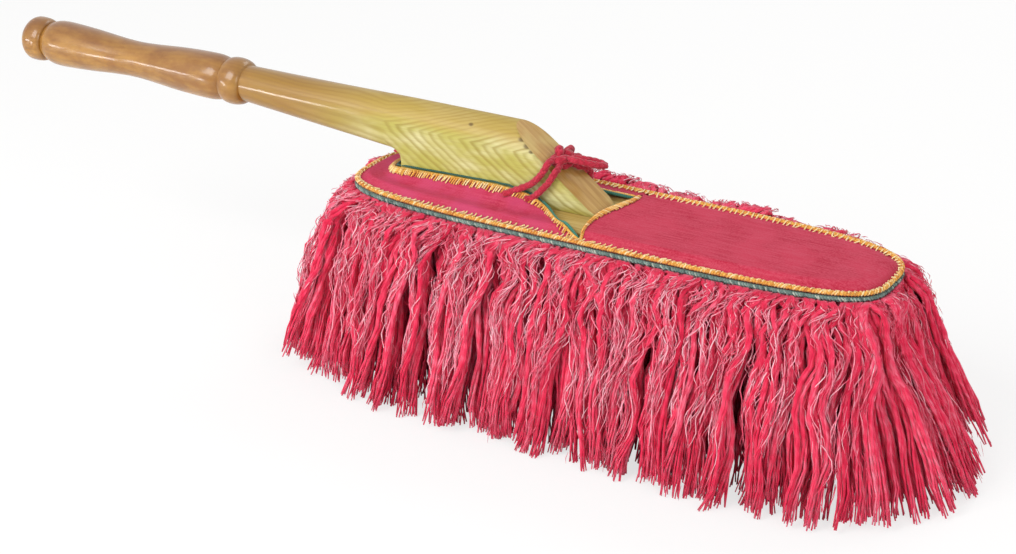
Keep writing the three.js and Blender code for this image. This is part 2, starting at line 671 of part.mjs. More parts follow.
// Each flap's two strings climb the wedge's side and turn over the slope's edge into the knot.
const fromCorner = (side) => [
  onFlap(side, -4, 4.7, 1),
  onFlap(side, 2, 2.3, 3.6),
  beside(side, -11, 0.28),
  beside(side, -4.4, 0.6),
  beside(side, -1, 0.95),
  overSlope(0.6, side * (wedgeHalf + 0.9), 1.5),
  overSlope(1.4, side * (wedgeHalf - 5.5), 2.6),
  knotCentre,
];
const fromEdge = (side) => [
  onFlap(side, 12, 8.3, -0.4),
  onFlap(side, 16, 4.1, 2.4),
  beside(side, 0, 0.4),
  beside(side, 3.8, 0.83),
  overSlope(6, side * (wedgeHalf + 1.7), 0.7),
  overSlope(6.2, side * (wedgeHalf - 3.1), 2.4),
  knotCentre,
];
const loopRoute = [
  knotCentre,
  fromKnot(9.9, -3, 1.3),
  fromKnot(17.9, 0, -0.3),
  fromKnot(23.9, 5.4, -2.7),
  fromKnot(25.3, 11, -4.3),
  fromKnot(20.3, 12.6, -3.7),
  fromKnot(11.9, 6.4, -0.9),
  knotCentre,
];
const tailRoute = [
  knotCentre,
  overSlope(7.6, KNOT_Y + 2, 1.8),
  overSlope(10.4, KNOT_Y + 5.6, 1.1),
  overSlope(12.4, wedgeHalf - 1.5, 1.1),
  beside(1, 13.4, 1.08),
  beside(1, 13.6, 0.34),
  beside(1, 14.4, -0.18),
];
const strings = {
  tie_string_near_a: fromCorner(-1),
  tie_string_near_b: fromEdge(-1),
  tie_string_far_a: fromCorner(1),
  tie_string_far_b: fromEdge(1),
  bow_loop: loopRoute,
  bow_tail: tailRoute,
};
addNode("bow_knot", knot(0), CRIMSON_YARN, 0.9);
for (const [name, points] of Object.entries(strings)) {
  const curve = new THREE.CatmullRomCurve3(points);
  const body = tube(curve, STRING_DIAMETER, 2 * points.length).subtract(knot(FIT));
  addNode(name, body, CRIMSON_YARN, 0.9);
}

export default model;
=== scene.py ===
# %% [markdown]
# # A car duster with a wooden handle
# The object is a turned handle that ends in a wedge of wood, a mop head of crimson yarn under a cloth cover,
# and a string that ties the two together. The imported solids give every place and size, so the lesson starts by
# loading them. Each later step makes one piece around them and says which solid it stands for.

# %% Load the solids
import json
import math
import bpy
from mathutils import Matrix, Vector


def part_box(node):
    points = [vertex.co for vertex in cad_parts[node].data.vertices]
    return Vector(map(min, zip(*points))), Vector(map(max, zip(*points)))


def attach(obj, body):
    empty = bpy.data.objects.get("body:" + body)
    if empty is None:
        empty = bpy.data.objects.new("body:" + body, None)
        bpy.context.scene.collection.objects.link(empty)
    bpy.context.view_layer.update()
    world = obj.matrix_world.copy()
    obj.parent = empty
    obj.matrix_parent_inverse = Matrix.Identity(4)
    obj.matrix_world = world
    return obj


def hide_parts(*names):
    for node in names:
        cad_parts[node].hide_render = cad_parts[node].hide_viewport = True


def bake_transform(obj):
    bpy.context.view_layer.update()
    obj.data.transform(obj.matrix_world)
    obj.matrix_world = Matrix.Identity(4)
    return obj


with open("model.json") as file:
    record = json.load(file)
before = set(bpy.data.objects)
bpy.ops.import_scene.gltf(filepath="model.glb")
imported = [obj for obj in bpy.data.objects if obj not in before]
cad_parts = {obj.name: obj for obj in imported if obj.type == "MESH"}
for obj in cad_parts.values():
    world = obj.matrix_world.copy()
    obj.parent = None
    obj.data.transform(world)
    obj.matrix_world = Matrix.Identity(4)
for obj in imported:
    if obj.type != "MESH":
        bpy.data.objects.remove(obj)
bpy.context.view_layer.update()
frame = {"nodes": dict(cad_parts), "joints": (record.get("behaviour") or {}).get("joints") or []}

from types import SimpleNamespace

import bmesh
import bpy
import numpy as np
from mathutils import Matrix, Vector

scene = bpy.context.scene
ROOT = "mop_and_handle"
TURN = 2 * math.pi

# %% [markdown]
# ## Camera
# The photograph looks down on the near side from the right, with the handle going away to the left. A long lens
# keeps the mop head's sides nearly parallel. The place and the direction were solved from the cover's seam.

# %% Place the camera
EYE = Vector((0.6428, -1.2628, 0.7268))
LOOK = Vector((-0.4523, 0.7903, -0.4133))
lens = bpy.data.cameras.new("camera")
lens.lens = 86.35
lens.sensor_width = 36
lens.sensor_fit = "HORIZONTAL"
camera = bpy.data.objects.new("camera", lens)
camera.location = EYE
camera.rotation_mode = "QUATERNION"
camera.rotation_quaternion = LOOK.to_track_quat("-Z", "Y")
scene.collection.objects.link(camera)
scene.camera = camera
scene.view_settings.view_transform = "Standard"
print("camera at", tuple(round(v, 3) for v in EYE))

# %% [markdown]
# ## Shader sums
# Procedural finishes are mostly sums on a few numbers that vary over the surface. Wiring each sum by hand hides
# the idea, so one small class wraps a socket and turns Python's operators into Math nodes. A second class makes every
# other node with one method, and a third holds a material and feeds its shader.


# %% A number that varies over a surface
class Amount:
    """A socket that holds one value at each point. Sums on it add Math nodes."""

    def __init__(self, nodes, socket):
        self.nodes = nodes
        self.socket = socket

    def __add__(self, other):
        return self.nodes.math("ADD", self, other)

    def __radd__(self, other):
        return self.nodes.math("ADD", other, self)

    def __sub__(self, other):
        return self.nodes.math("SUBTRACT", self, other)

    def __rsub__(self, other):
        return self.nodes.math("SUBTRACT", other, self)

    def __mul__(self, other):
        return self.nodes.math("MULTIPLY", self, other)

    def __pow__(self, other):
        return self.nodes.math("POWER", self, other)


# %% A tree of nodes
class Nodes:
    """A tree of shader nodes. One method makes each node: its settings first, then its values and links."""

    def __init__(self, tree):
        self.tree = tree

    def node(self, kind, settings=None, values=None, output=0):
        made = self.tree.nodes.new(kind)
        for key, value in (settings or {}).items():
            if key == "stops":
                ramp = made.color_ramp
                while len(ramp.elements) < len(value):
                    ramp.elements.new(1.0)
                for element, (place, colour) in zip(ramp.elements, value):
                    element.position = place
                    element.color = colour
            else:
                setattr(made, key, value)
        for key, value in (values or {}).items():
            if isinstance(value, Amount):
                self.tree.links.new(value.socket, made.inputs[key])
            else:
                made.inputs[key].default_value = value
        return Amount(self, made.outputs[output])

    def math(self, operation, *terms):
        return self.node("ShaderNodeMath", {"operation": operation}, dict(enumerate(terms)))

    def show(self, shader, output):
        self.tree.links.new(shader.socket, self.tree.nodes[output].inputs["Surface"])


# %% A material
class Finish(Nodes):
    """A material: fixed values sit on the shader's own sockets, and varying ones are fed to it."""

    def __init__(self, name, fixed):
        self.material = bpy.data.materials.new(name)
        self.material.use_nodes = True
        super().__init__(self.material.node_tree)
        self.shader = self.tree.nodes["Principled BSDF"]
        for socket, value in fixed.items():
            self.shader.inputs[socket].default_value = value

    def feed(self, socket, amount):
        self.tree.links.new(amount.socket, self.shader.inputs[socket])

    def place(self):
        return self.node("ShaderNodeTexCoord", output="Object")

    def thread_uv(self):
        return self.axes(self.node("ShaderNodeUVMap", {"uv_map": "thread"}))[:2]

    def axes(self, vector):
        split = self.node("ShaderNodeSeparateXYZ", None, {0: vector}).socket.node
        return [Amount(self, split.outputs[axis]) for axis in "XYZ"]

    def vector(self, x, y, z=0.0):
        return self.node("ShaderNodeCombineXYZ", None, {0: x, 1: y, 2: z})

    def stretched(self, vector, scale):
        return self.node("ShaderNodeVectorMath", {"operation": "MULTIPLY"}, {0: vector, 1: scale})

    def millimetres(self):
        return self.axes(self.stretched(self.place(), (1000, 1000, 1000)))

    def grain(self, scale, detail=2.0, roughness=0.5):
        """Noise that is stretched by another scale on each axis."""
        return self.noise(self.stretched(self.place(), scale), 1.0, detail, roughness)

    def noise(self, vector, scale, detail=2.0, roughness=0.5):
        values = {"Vector": vector, "Scale": scale, "Detail": detail, "Roughness": roughness}
        return self.node("ShaderNodeTexNoise", None, values)

    def step(self, amount, low, high):
        values = {"Value": amount, "From Min": low, "From Max": high}
        return self.node("ShaderNodeMapRange", {"interpolation_type": "SMOOTHSTEP"}, values)

    def ramp(self, amount, *stops):
        return self.node("ShaderNodeValToRGB", {"stops": [(place, hue(code)) for place, code in stops]}, {0: amount})

    def mix(self, share, first, second):
        pair = {6 + i: hue(c) if isinstance(c, str) else c for i, c in enumerate((first, second))}
        return self.node("ShaderNodeMix", {"data_type": "RGBA"}, {0: share, **pair}, output=2)

    def bump(self, height, strength, distance):
        values = {"Height": height, "Strength": strength, "Distance": distance}
        self.feed("Normal", self.node("ShaderNodeBump", None, values))

    def attribute(self, name):
        return self.node("ShaderNodeAttribute", {"attribute_name": name}, output="Fac")


def hue(code):
    """A screen colour, such as c83250, as the linear colour that shaders use."""
    parts = [int(code[i : i + 2], 16) / 255 for i in (0, 2, 4)]
    return (*(p / 12.92 if p < 0.04045 else ((p + 0.055) / 1.055) ** 2.4 for p in parts), 1.0)


print("crimson is", [round(v, 3) for v in hue("cf3052")])

# %% [markdown]
# ## Floor and light
# The photograph is a cut-out on white. A white floor keeps the shadow that tells the eye where the yarn lies.
# Part of the floor's white is shown to the camera alone, so that it adds no light to the object. The main light
# stands high to the left of the camera, and two low softboxes draw the streaks on the varnish of grip and neck.


# %% White floor
FLOOR_HALF = 8
FLOOR_DROP = 0.0002
FLOOR_SHOWN = 0.72


def shape_to_mesh(shape, name):
    mesh = bpy.data.meshes.new(name)
    shape.to_mesh(mesh)
    shape.free()
    return mesh


shape = bmesh.new()
bmesh.ops.create_grid(shape, x_segments=1, y_segments=1, size=FLOOR_HALF)
mesh = shape_to_mesh(shape, "floor")
floor = bpy.data.objects.new("floor", mesh)
floor.location.z = -FLOOR_DROP
scene.collection.objects.link(floor)
white = Finish("white_floor", {"Base Color": (0.92, 0.92, 0.92, 1), "Roughness": 0.9, "Specular IOR Level": 0.1})
seen = white.node("ShaderNodeLightPath", output="Is Camera Ray") * FLOOR_SHOWN
glow = white.node("ShaderNodeEmission", None, {"Color": (1, 1, 1, 1), "Strength": 1.0})
surface = Amount(white, white.shader.outputs[0])
white.show(white.node("ShaderNodeMixShader", None, {0: seen, 1: surface, 2: glow}), "Material Output")
mesh.materials.append(white.material)
print("floor at", round(floor.location.z, 4))

# %% World and softboxes
world = bpy.data.worlds.new("studio")
world.use_nodes = True
scene.world = world
sky = Nodes(world.node_tree)
rays = [sky.node("ShaderNodeLightPath", output=f"Is {kind} Ray") for kind in ("Camera", "Glossy", "Transmission")]
shown = sky.math("MAXIMUM", rays[0], sky.math("MAXIMUM", rays[1], rays[2]))
room = sky.node("ShaderNodeBackground", None, {"Color": (1.0, 0.99, 0.97, 1), "Strength": 0.56})
plain = sky.node("ShaderNodeBackground", None, {"Color": (1, 1, 1, 1), "Strength": 1.0})
sky.show(sky.node("ShaderNodeMixShader", None, {0: shown, 1: room, 2: plain}), "World Output")


def softbox(name, place, aim, size, watts):
    light = bpy.data.lights.new(name, "AREA")
    light.shape = "RECTANGLE"
    light.size, light.size_y = size
    light.energy = watts
    lamp = bpy.data.objects.new(name, light)
    lamp.location = place
    lamp.rotation_mode = "QUATERNION"
    lamp.rotation_quaternion = (Vector(aim) - Vector(place)).to_track_quat("-Z", "Y")
    scene.collection.objects.link(lamp)


softbox("main_light", (-0.7, -1.5, 1.35), (0, 0, 0.08), (1.1, 1.1), 27)
softbox("low_light", (-1.25, -0.95, 0.165), (-0.35, 0, 0.16), (0.3, 0.12), 2.1)
softbox("neck_light", (-0.8, -0.8, 0.06), (-0.24, 0, 0.16), (0.1, 0.11), 0.8)
softbox("right_fill", (1.4, -1.1, 0.8), (0.1, 0, 0.08), (1.0, 0.8), 9)
softbox("rear_light", (0.2, 1.3, 1.3), (0, 0, 0.1), (1.2, 0.7), 7)

# %% [markdown]
# ## Sizes that the pieces share
# The cover's outline is a superellipse, as full at its ends as a shoe sole. The seam height, the board's top and
# the wedge's sides come from the solids. All later pieces use these values, in metres.

# %% Outline and heights
SEAM = 0.123
HALF_LENGTH = 0.185
HALF_WIDTH = 0.044
OUTLINE_POWER = 3.8
BOARD_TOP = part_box("base_board")[1].z
WEDGE_HALF = 0.0145
WEDGE_LENGTH = 0.1435
WEDGE_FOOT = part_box("handle")[0].z
WEDGE_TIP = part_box("handle")[1].x
WEDGE_REAR = WEDGE_TIP - WEDGE_LENGTH
WEDGE_CREST = SEAM + 0.0545
TIP_THICK = 0.0008
SLOPE = math.radians(37.6)


def clamp(value):
    return min(1.0, max(0.0, value))


def ease(share):
    """A share that starts and ends softly."""
    return share * share * (3 - 2 * share)


def lengths_along(line):
    """The length from a line's start to each of its points."""
    return np.concatenate([[0], np.cumsum(np.linalg.norm(np.diff(line, axis=0), axis=1))])


def outline(angle, grow=0.0):
    """A point of the cover's outline, moved out by grow, and the outward normal there."""
    c, s = math.cos(angle), math.sin(angle)
    size = (abs(c) ** OUTLINE_POWER + abs(s) ** OUTLINE_POWER) ** (1 / OUTLINE_POWER)
    slope = [math.copysign(abs(v / size) ** (OUTLINE_POWER - 1), v) for v in (c, s)]
    normal = Vector((slope[0] / HALF_LENGTH, slope[1] / HALF_WIDTH, 0)).normalized()
    return Vector((c * HALF_LENGTH, s * HALF_WIDTH, 0)) / size + normal * grow, normal


ROUND = np.linspace(0, TURN, 2881)
ROUND_POINTS = np.array([outline(a)[0][:2] for a in ROUND])
ROUND_LENGTHS = lengths_along(ROUND_POINTS)
GIRTH = float(ROUND_LENGTHS[-1])


def outline_along(length, grow=0.0):
    """The outline at a length round its edge, from the middle of the front towards the far side."""
    return outline(float(np.interp(length % GIRTH, ROUND_LENGTHS, ROUND)), grow)


def length_beside(x, side):
    """The length round the edge at which the near (-1) or far (1) side passes x."""
    return float(np.interp(math.atan2(side, x / HALF_LENGTH) % TURN, ROUND, ROUND_LENGTHS))


def to_edge(x, y):
    """About how far a point lies inside the outline."""
    size = (abs(x / HALF_LENGTH) ** OUTLINE_POWER + abs(y / HALF_WIDTH) ** OUTLINE_POWER) ** (1 / OUTLINE_POWER)
    if size < 1e-6:
        return HALF_WIDTH
    slope = [(abs(v / half) / size) ** (OUTLINE_POWER - 1) / half for v, half in ((x, HALF_LENGTH), (y, HALF_WIDTH))]
    return (1 - size) / math.hypot(*slope)


print("girth of the seam:", round(GIRTH, 3), "board top:", round(BOARD_TOP, 4))

# %% [markdown]
# ## Many threads in one mesh
# Yarn, stitches and string are all round threads that follow a line. A curve object with a bevel already knows how
# to run a round section along a line, so each thread is one spline. The curve is then made a mesh, because a mesh
# can bend with a joint and can carry a UV map: U goes round the thread and V along it, in metres.


# %% Threads from lines
def thread_mesh(name, lines, radii, tones, sides=4):
    curve = bpy.data.curves.new(name, "CURVE")
    curve.dimensions = "3D"
    curve.bevel_depth = 1.0
    curve.bevel_resolution = (sides - 4) // 2
    for line, radius in zip(lines, radii):
        spline = curve.splines.new("POLY")
        spline.points.add(len(line) - 1)
        spline.points.foreach_set("co", np.c_[line, np.ones(len(line))].ravel())
        spline.points.foreach_set("radius", np.broadcast_to(radius, len(line)).copy())
    source = bpy.data.objects.new(name, curve)
    mesh = bpy.data.meshes.new_from_object(source)
    bpy.data.objects.remove(source)
    bpy.data.curves.remove(curve)
    along = np.repeat(np.concatenate([lengths_along(line) for line in lines]), sides)
    around = np.tile(np.arange(sides) / sides, len(along) // sides)
    tone = np.concatenate([np.full(len(line) * sides, tone) for line, tone in zip(lines, tones)])
    corner = np.zeros(len(mesh.loops), np.int32)
    mesh.loops.foreach_get("vertex_index", corner)
    u = around[corner].reshape(-1, 4)
    u[(u.max(1) - u.min(1) > 0.5)[:, None] & (u < 0.5)] += 1
    while mesh.uv_layers:
        mesh.uv_layers.remove(mesh.uv_layers[0])
    uv = mesh.uv_layers.new(name="thread")
    uv.data.foreach_set("uv", np.c_[u.ravel(), along[corner]].astype(np.float32).ravel())
    mesh.attributes.new("tone", "FLOAT", "POINT").data.foreach_set("value", tone.astype(np.float32))
    shape = bmesh.new()
    shape.from_mesh(mesh)
    bmesh.ops.holes_fill(shape, edges=[e for e in shape.edges if e.is_boundary], sides=sides)
    bmesh.ops.recalc_face_normals(shape, faces=shape.faces)
    shape.to_mesh(mesh)
    shape.free()
    mesh.shade_smooth()
    return mesh


def piece(name, mesh, finishes, nodes, body=ROOT):
    """A finished piece in the scene, with its materials and the solids that it stands for."""
    for finish in finishes:
        mesh.materials.append(finish.material)
    made = bpy.data.objects.new(name, mesh)
    scene.collection.objects.link(made)
    if body:
        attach(made, body)
    if nodes:
        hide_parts(*nodes)
    return made


def thread_piece(name, threads, finish, nodes, body=ROOT):
    """One piece of many threads, which are lists of lines, radii and tones."""
    return piece(name, thread_mesh(name, *threads), [finish], nodes, body)


def add_thread(threads, line, radius, tone):
    for values, value in zip(threads, (np.array(line), radius, tone)):
        values.append(value)


def smooth_line(points, step=0.0008):
    """A line through the points that turns evenly, with a point about every step."""
    p = np.array(points, float)
    p = np.vstack([2 * p[0] - p[1], p, 2 * p[-1] - p[-2]])
    found = []
    for a, b, c, d in zip(p[:-3], p[1:-2], p[2:-1], p[3:]):
        t = np.linspace(0, 1, max(3, round(np.linalg.norm(c - b) / step)), endpoint=False)[:, None]
        bend = 2 * b + (c - a) * t + (2 * a - 5 * b + 4 * c - d) * t**2 + (3 * b - a - 3 * c + d) * t**3
        found.append(bend / 2)
    return np.vstack([*found, p[-2]])


print("threads have U round and V along")

# %% [markdown]
# ## Handle
# The knob, grip, bead and neck are turned on a lathe, so a profile that is spun round the axis makes them. The neck
# then turns into a sawn board with flat sides and a round crest. That part is grown from the neck's first ring: the
# ring is extruded step by step, and each copy is set on the section that the board has there. A cut along the slope
# gives the wedge its face.

# %% Turned profile
AXIS_PITCH = math.radians(0.5)
AXIS_DROP = 0.0138
NECK = 0.01225
KNOB_LENGTH, KNOB_RADIUS = 0.0105, 0.0155
GRIP_START, GRIP_END = (0.0202, 0.0121), (0.174, 0.0134)
TURNED = 0.191
RING = 64


def bezier(a, b, c, d, count):
    t = np.linspace(0, 1, count)[1:, None]
    a, b, c, d = (np.array(p) for p in (a, b, c, d))
    return a * (1 - t) ** 3 + 3 * b * t * (1 - t) ** 2 + 3 * c * t**2 * (1 - t) + d * t**3


quarter = np.linspace(0, math.pi / 2, 12)
crown = [(KNOB_LENGTH * (1 - math.cos(a)), KNOB_RADIUS * math.sin(a)) for a in quarter]
shoulder = bezier((KNOB_LENGTH, KNOB_RADIUS), (0.0168, 0.0156), (0.0198, 0.0148), GRIP_START, 9)
swell = [(0.024, 0.0141), (0.033, 0.0158), (0.057, 0.0149)]
waist = [(0.097, 0.0124), (0.137, 0.015), (0.161, 0.0158), (0.1695, 0.0151)]
grip = smooth_line([(a, r, 0) for a, r in (GRIP_START, *swell, *waist, GRIP_END)], 0.0025)[1:, :2]
bead = bezier(GRIP_END, (0.1752, 0.0172), (0.1898, 0.0172), (TURNED, NECK), 14)
profile = [*crown, *shoulder, *grip, *bead]
print("profile points:", len(profile), "widest:", round(max(r for _, r in profile) * 2000, 1), "mm")

# %% Spin the turned part
NECK_LENGTH = 0.13
NECK_START = WEDGE_REAR - NECK_LENGTH


def axis_height(x):
    return WEDGE_CREST - AXIS_DROP + (WEDGE_REAR - x) * math.tan(AXIS_PITCH)


wood = bmesh.new()
spots = [wood.verts.new((a - TURNED, 0, r)) for a, r in profile]
edges = [wood.edges.new(pair) for pair in zip(spots, spots[1:])]
bmesh.ops.spin(wood, geom=spots + edges, cent=(0, 0, 0), axis=(1, 0, 0), angle=TURN, steps=RING, use_merge=True)
bmesh.ops.remove_doubles(wood, verts=wood.verts, dist=1e-6)
set_down = Matrix.Translation((NECK_START, 0, axis_height(NECK_START))) @ Matrix.Rotation(AXIS_PITCH, 4, "Y")
bmesh.ops.transform(wood, matrix=set_down, verts=wood.verts)
print("turned faces:", len(wood.faces))


# %% Sections of the neck and the board
def board_section(half, top, bottom, foot_round):
    """A closed line round a board's section: a round crest, flat sides and a foot with round corners."""
    arc = np.linspace(0, math.pi, 60)
    crest = np.c_[half * np.cos(arc), top - half + half * np.sin(arc)]
    quarter = np.linspace(math.pi, 1.5 * math.pi, 24)
    left = np.c_[-half + foot_round + foot_round * np.cos(quarter), bottom + foot_round + foot_round * np.sin(quarter)]
    right = np.c_[-left[::-1, 0], left[::-1, 1]]
    around = np.vstack([crest, left, right, crest[:1]])
    return np.vstack([np.linspace(a, b, 12, endpoint=False) for a, b in zip(around, around[1:])])


def reach_at(section, middle, angles):
    """How far the section lies from its middle in each direction."""
    turned = np.arctan2(section[:, 1] - middle, section[:, 0]) % TURN
    reach = np.hypot(section[:, 0], section[:, 1] - middle)
    order = np.argsort(turned)
    return np.interp(angles % TURN, turned[order], reach[order], period=TURN)


HEEL = 0.01
HEEL_X = WEDGE_REAR - HEEL
NECK_FOOT = WEDGE_CREST - 0.0315
stations = [(x, 0.0) for x in np.linspace(NECK_START, HEEL_X, 17)[1:]]
stations += [(HEEL_X + HEEL * math.sin(a), HEEL * (1 - math.cos(a))) for a in np.linspace(0, math.pi / 2, 9)[1:]]
stations += [(WEDGE_REAR, None), (WEDGE_REAR + 0.003, None), (WEDGE_TIP, None)]
print("sections along the neck and the board:", len(stations))

# %% Grow the board from the neck
rim = [e for e in wood.edges if e.is_boundary]
for x, drop in stations:
    grown = bmesh.ops.extrude_edge_only(wood, edges=rim)["geom"]
    verts = [g for g in grown if isinstance(g, bmesh.types.BMVert)]
    rim = [g for g in grown if isinstance(g, bmesh.types.BMEdge) and g.is_boundary]
    share = min(1.0, (x - NECK_START) / (WEDGE_REAR - NECK_START))
    deep = min(1.0, (x - NECK_START) / (HEEL_X - NECK_START))
    half = NECK + (WEDGE_HALF - NECK) * share
    top = axis_height(x) + NECK
    top = top + (WEDGE_CREST - top) * share
    bottom = axis_height(x) - NECK
    bottom = WEDGE_FOOT if drop is None else bottom + (NECK_FOOT - bottom) * deep - drop
    foot_round = 0.001 if drop is None else (half - 0.0003) * (1 - share) + 0.003 * share
    section = board_section(half, top, bottom, foot_round)
    middle = top - half
    angles = np.array([math.atan2(v.co.z - middle, v.co.y) for v in verts])
    for v, angle, reach in zip(verts, angles, reach_at(section, middle, angles)):
        v.co = (x, reach * math.cos(angle), middle + reach * math.sin(angle))
bmesh.ops.holes_fill(wood, edges=rim, sides=RING)
print("wood faces with the board:", len(wood.faces))

# %% Cut the slope
SLOPE_BEVEL = 0.0009
face_point = Vector((WEDGE_TIP, 0, WEDGE_FOOT + TIP_THICK))
face_normal = Vector((math.sin(SLOPE), 0, math.cos(SLOPE)))
cut = bmesh.ops.bisect_plane(
    wood, geom=[*wood.verts, *wood.edges, *wood.faces], plane_co=face_point, plane_no=face_normal, clear_outer=True
)["geom_cut"]
rim = [g for g in cut if isinstance(g, bmesh.types.BMEdge)]
bmesh.ops.holes_fill(wood, edges=rim, sides=0)
bmesh.ops.recalc_face_normals(wood, faces=wood.faces)
rim = [e for e in rim if e.is_valid and len(e.link_faces) == 2 and e.calc_face_angle() > 0.4]
bmesh.ops.bevel(wood, geom=rim, offset=SLOPE_BEVEL, segments=3, profile=0.5, affect="EDGES", material=-1)
for face in wood.faces:
    face.material_index = int(face.normal.dot(face_normal) > 0.985 and face.calc_center_median().x > WEDGE_REAR)
print("slope faces:", sum(f.material_index for f in wood.faces), "open edges:", sum(e.is_boundary for e in wood.edges))

# %% [markdown]
# ## Wood finish
# The board was sawn at a slant to the tree's rings, so its sides show nested arches that start near the neck and open
# towards the slope. One sum counts the rings: the count grows above and below a line along the board and falls
# towards the slope, and noise makes it drift and waver. The varnish is thick and amber on the turned part and thin on
# the board. Four dark spots are small knots and pinholes near the crest.


# %% Varnished wood
SPOTS = [
    ((-101, -10.7, 172.8), 1.2),
    ((-63, -12.7, 170.5), 1.6),
    ((-58.5, -14, 167), 1.6),
    ((-55, -14.4, 164), 1.2),
]
RINGS_PER_MM = 0.24


def wood_finish(name, sloped):
    made = Finish(name, {"IOR": 1.5, "Specular IOR Level": 0.35, "Coat Roughness": 0.14, "Coat IOR": 1.5})
    x, y, z = made.millimetres()
    drift = made.grain((11, 22, 22), 1.0) - 0.5
    waver = made.grain((40, 120, 120)) - 0.5
    height = z - 164 + (x + 110) * 0.04 + drift * 12
    below = made.math("MAXIMUM", 0 - height, 0)
    above = made.math("MAXIMUM", height, 0)
    along = made.math("MAXIMUM", x + 165, (x + 165) * 0.12)
    depth = (below * below + 16) ** 0.5 * 0.8 + above * 1.5 - along * 0.5
    count = (depth + y * 0.6 + drift * 16 + waver * 2.6 + 90) * RINGS_PER_MM
    rings = made.math("FRACT", count)
    late = made.step(rings, 0.15, 0.66) * (1 - made.step(rings, 0.68, 0.98))
    thick = made.noise(made.vector(made.math("FLOOR", count), 0.0), 0.73, 1.0)
    fibre = made.grain((40, 900, 900), 3.0, 0.6)
    cloud = made.grain((26, 70, 70), 3.0)
    flame = made.grain((55, 90, 90), 4.0, 0.62)
    board = made.step(x, -250, -140)
    grip = 1 - made.step(x, -300, -262)
    line = late * (0.2 + made.step(thick, 0.3, 0.7) * 0.6)
    # Cloudy patches mix two tones on the board's sides: partly the wood's figure, partly painted highlight in broad
    # pale bands.
    pale = made.mix(line, made.mix(made.step(cloud, 0.4, 0.7), "b0a952", "cdc892"), "8f7e2e")
    crest = made.step(z + waver * 6, 162, 171)
    pale = made.mix(crest * 0.8, pale, made.mix(line * 0.4, "b09246", "8e6d29"))
    amber = made.mix(line * 0.5, "966e21", "764e16")
    brown = made.mix(made.step(flame, 0.3, 0.7), "8a5a1f", "ac7c34")
    brown = made.mix(made.step(z + waver * 8, 169, 182) * 0.45, brown, "6e3c1c")
    brown = made.mix(line * 0.25, brown, "6c3d12")
    colour = made.mix(board, made.mix(grip, amber, brown), pale)
    colour = made.mix(made.step(fibre, 0.42, 0.8) * 0.22, colour, "80601f")
    for spot, size in SPOTS:
        gap = [a - b for a, b in zip((x, y, z), spot)]
        far = (gap[0] * gap[0] * 0.5 + gap[1] * gap[1] + gap[2] * gap[2]) ** 0.5
        colour = made.mix((1 - made.step(far, size * 0.4, size * 1.5)) * 0.75, colour, "4a3010")
    if sloped:
        streak = made.grain((30, 420, 30), 3.0, 0.6)
        tan = made.mix(made.step(streak, 0.25, 0.8), "a67c37", "c09c56")
        colour = made.mix(made.step(cloud, 0.5, 0.72) * 0.5, tan, "c6b06c")
    made.feed("Base Color", colour)
    made.feed("Roughness", 0.36 + board * 0.16 + fibre * 0.1)
    made.feed("Coat Weight", 0.65 - board * 0.55)
    made.bump(late * 0.3 + fibre * 0.5, 0.1, 0.0005)
    return made


varnished = wood_finish("varnished_wood", False)
sawn = wood_finish("sawn_slope", True)
mesh = shape_to_mesh(wood, "wooden_handle")
mesh.shade_smooth()
mesh.set_sharp_from_angle(angle=math.radians(32))
handle = piece("wooden_handle", mesh, [varnished, sawn], ["handle"])
print("handle spans", [round(v * 1000) for v in handle.dimensions])

# %% [markdown]
# ## Base board and screws
# The flat board under the wedge shows only through the opening of the cover. Its solid is right as it is, so it keeps
# it and gets the pale, sanded side of the same wood. The screws are inside the wood and get plain steel.

# %% Board and screw finishes
bare = Finish("bare_board", {"Roughness": 0.7})
grain = bare.grain((14, 420, 300), 3.0, 0.6)
bare.feed("Base Color", bare.ramp(grain, (0.3, "9a7430"), (0.5, "bca05a"), (0.75, "cdb980")))
bare.bump(grain, 0.2, 0.0004)
steel = Finish("screw_steel", {"Metallic": 1.0, "Roughness": 0.35})
scratch = steel.grain((600, 600, 2500))
steel.feed("Base Color", steel.ramp(scratch, (0.3, "8d8d88"), (0.7, "c9c9c4")))
for node, finish in [("base_board", bare), *((f"base_screw_{i}", steel) for i in (1, 2, 3))]:
    frame["nodes"][node].data.materials.clear()
    frame["nodes"][node].data.materials.append(finish.material)
print("kept solids: base_board and its screws")

# %% [markdown]
# ## Cloth cover
# The cover is two panels of thin woven cloth, sewn together round the edge. The rear one is slit for the wedge and
# its two flaps climb the wood, pulled up by the string. The front one is a pocket over the board's end. Each panel is
# a grid of faces whose rows run from the opening's edge to the seam, so the cloth's folds follow those rows.

# %% Height of the cloth
CLOTH = 0.0008
COVER_TOP = BOARD_TOP + 0.0015
RIM = SEAM + 0.0012
FAR_RIM_LIFT = 0.0025


def rim_lift(y):
    """The yarn behind it pushes the far rim up a little."""
    return FAR_RIM_LIFT * ease(clamp((y - 0.01) / 0.03))


def laid(x, y):
    """Height of cloth that lies on the board and falls to the seam, with a hollow along the far rim."""
    inside = to_edge(x, y)
    far = clamp((y - 0.02) / 0.015)
    rim = RIM + rim_lift(y)
    run = clamp((inside - 0.002 - 0.0028 * far) / (0.0066 - 0.0008 * far))
    ahead = clamp((x + 0.002) / 0.008)
    hollow = 0.0015 * far * ahead * math.exp(-(((inside - 0.0042) / 0.0018) ** 2))
    return rim + (COVER_TOP - rim) * ease(run) - hollow


def keyed(share, keys):
    """A point on the smooth line through keyed points."""
    places = np.array([k for k, _ in keys])
    points = np.array([p for _, p in keys])
    slopes = np.gradient(points, places, axis=0)
    i = min(max(int(np.searchsorted(places, share)) - 1, 0), len(places) - 2)
    wide = places[i + 1] - places[i]
    t = (share - places[i]) / wide
    a, b = points[i], points[i + 1]
    flat = a + (b - a) * ease(t)
    return Vector(flat + wide * t * (1 - t) * ((1 - t) * slopes[i] - t * slopes[i + 1]))


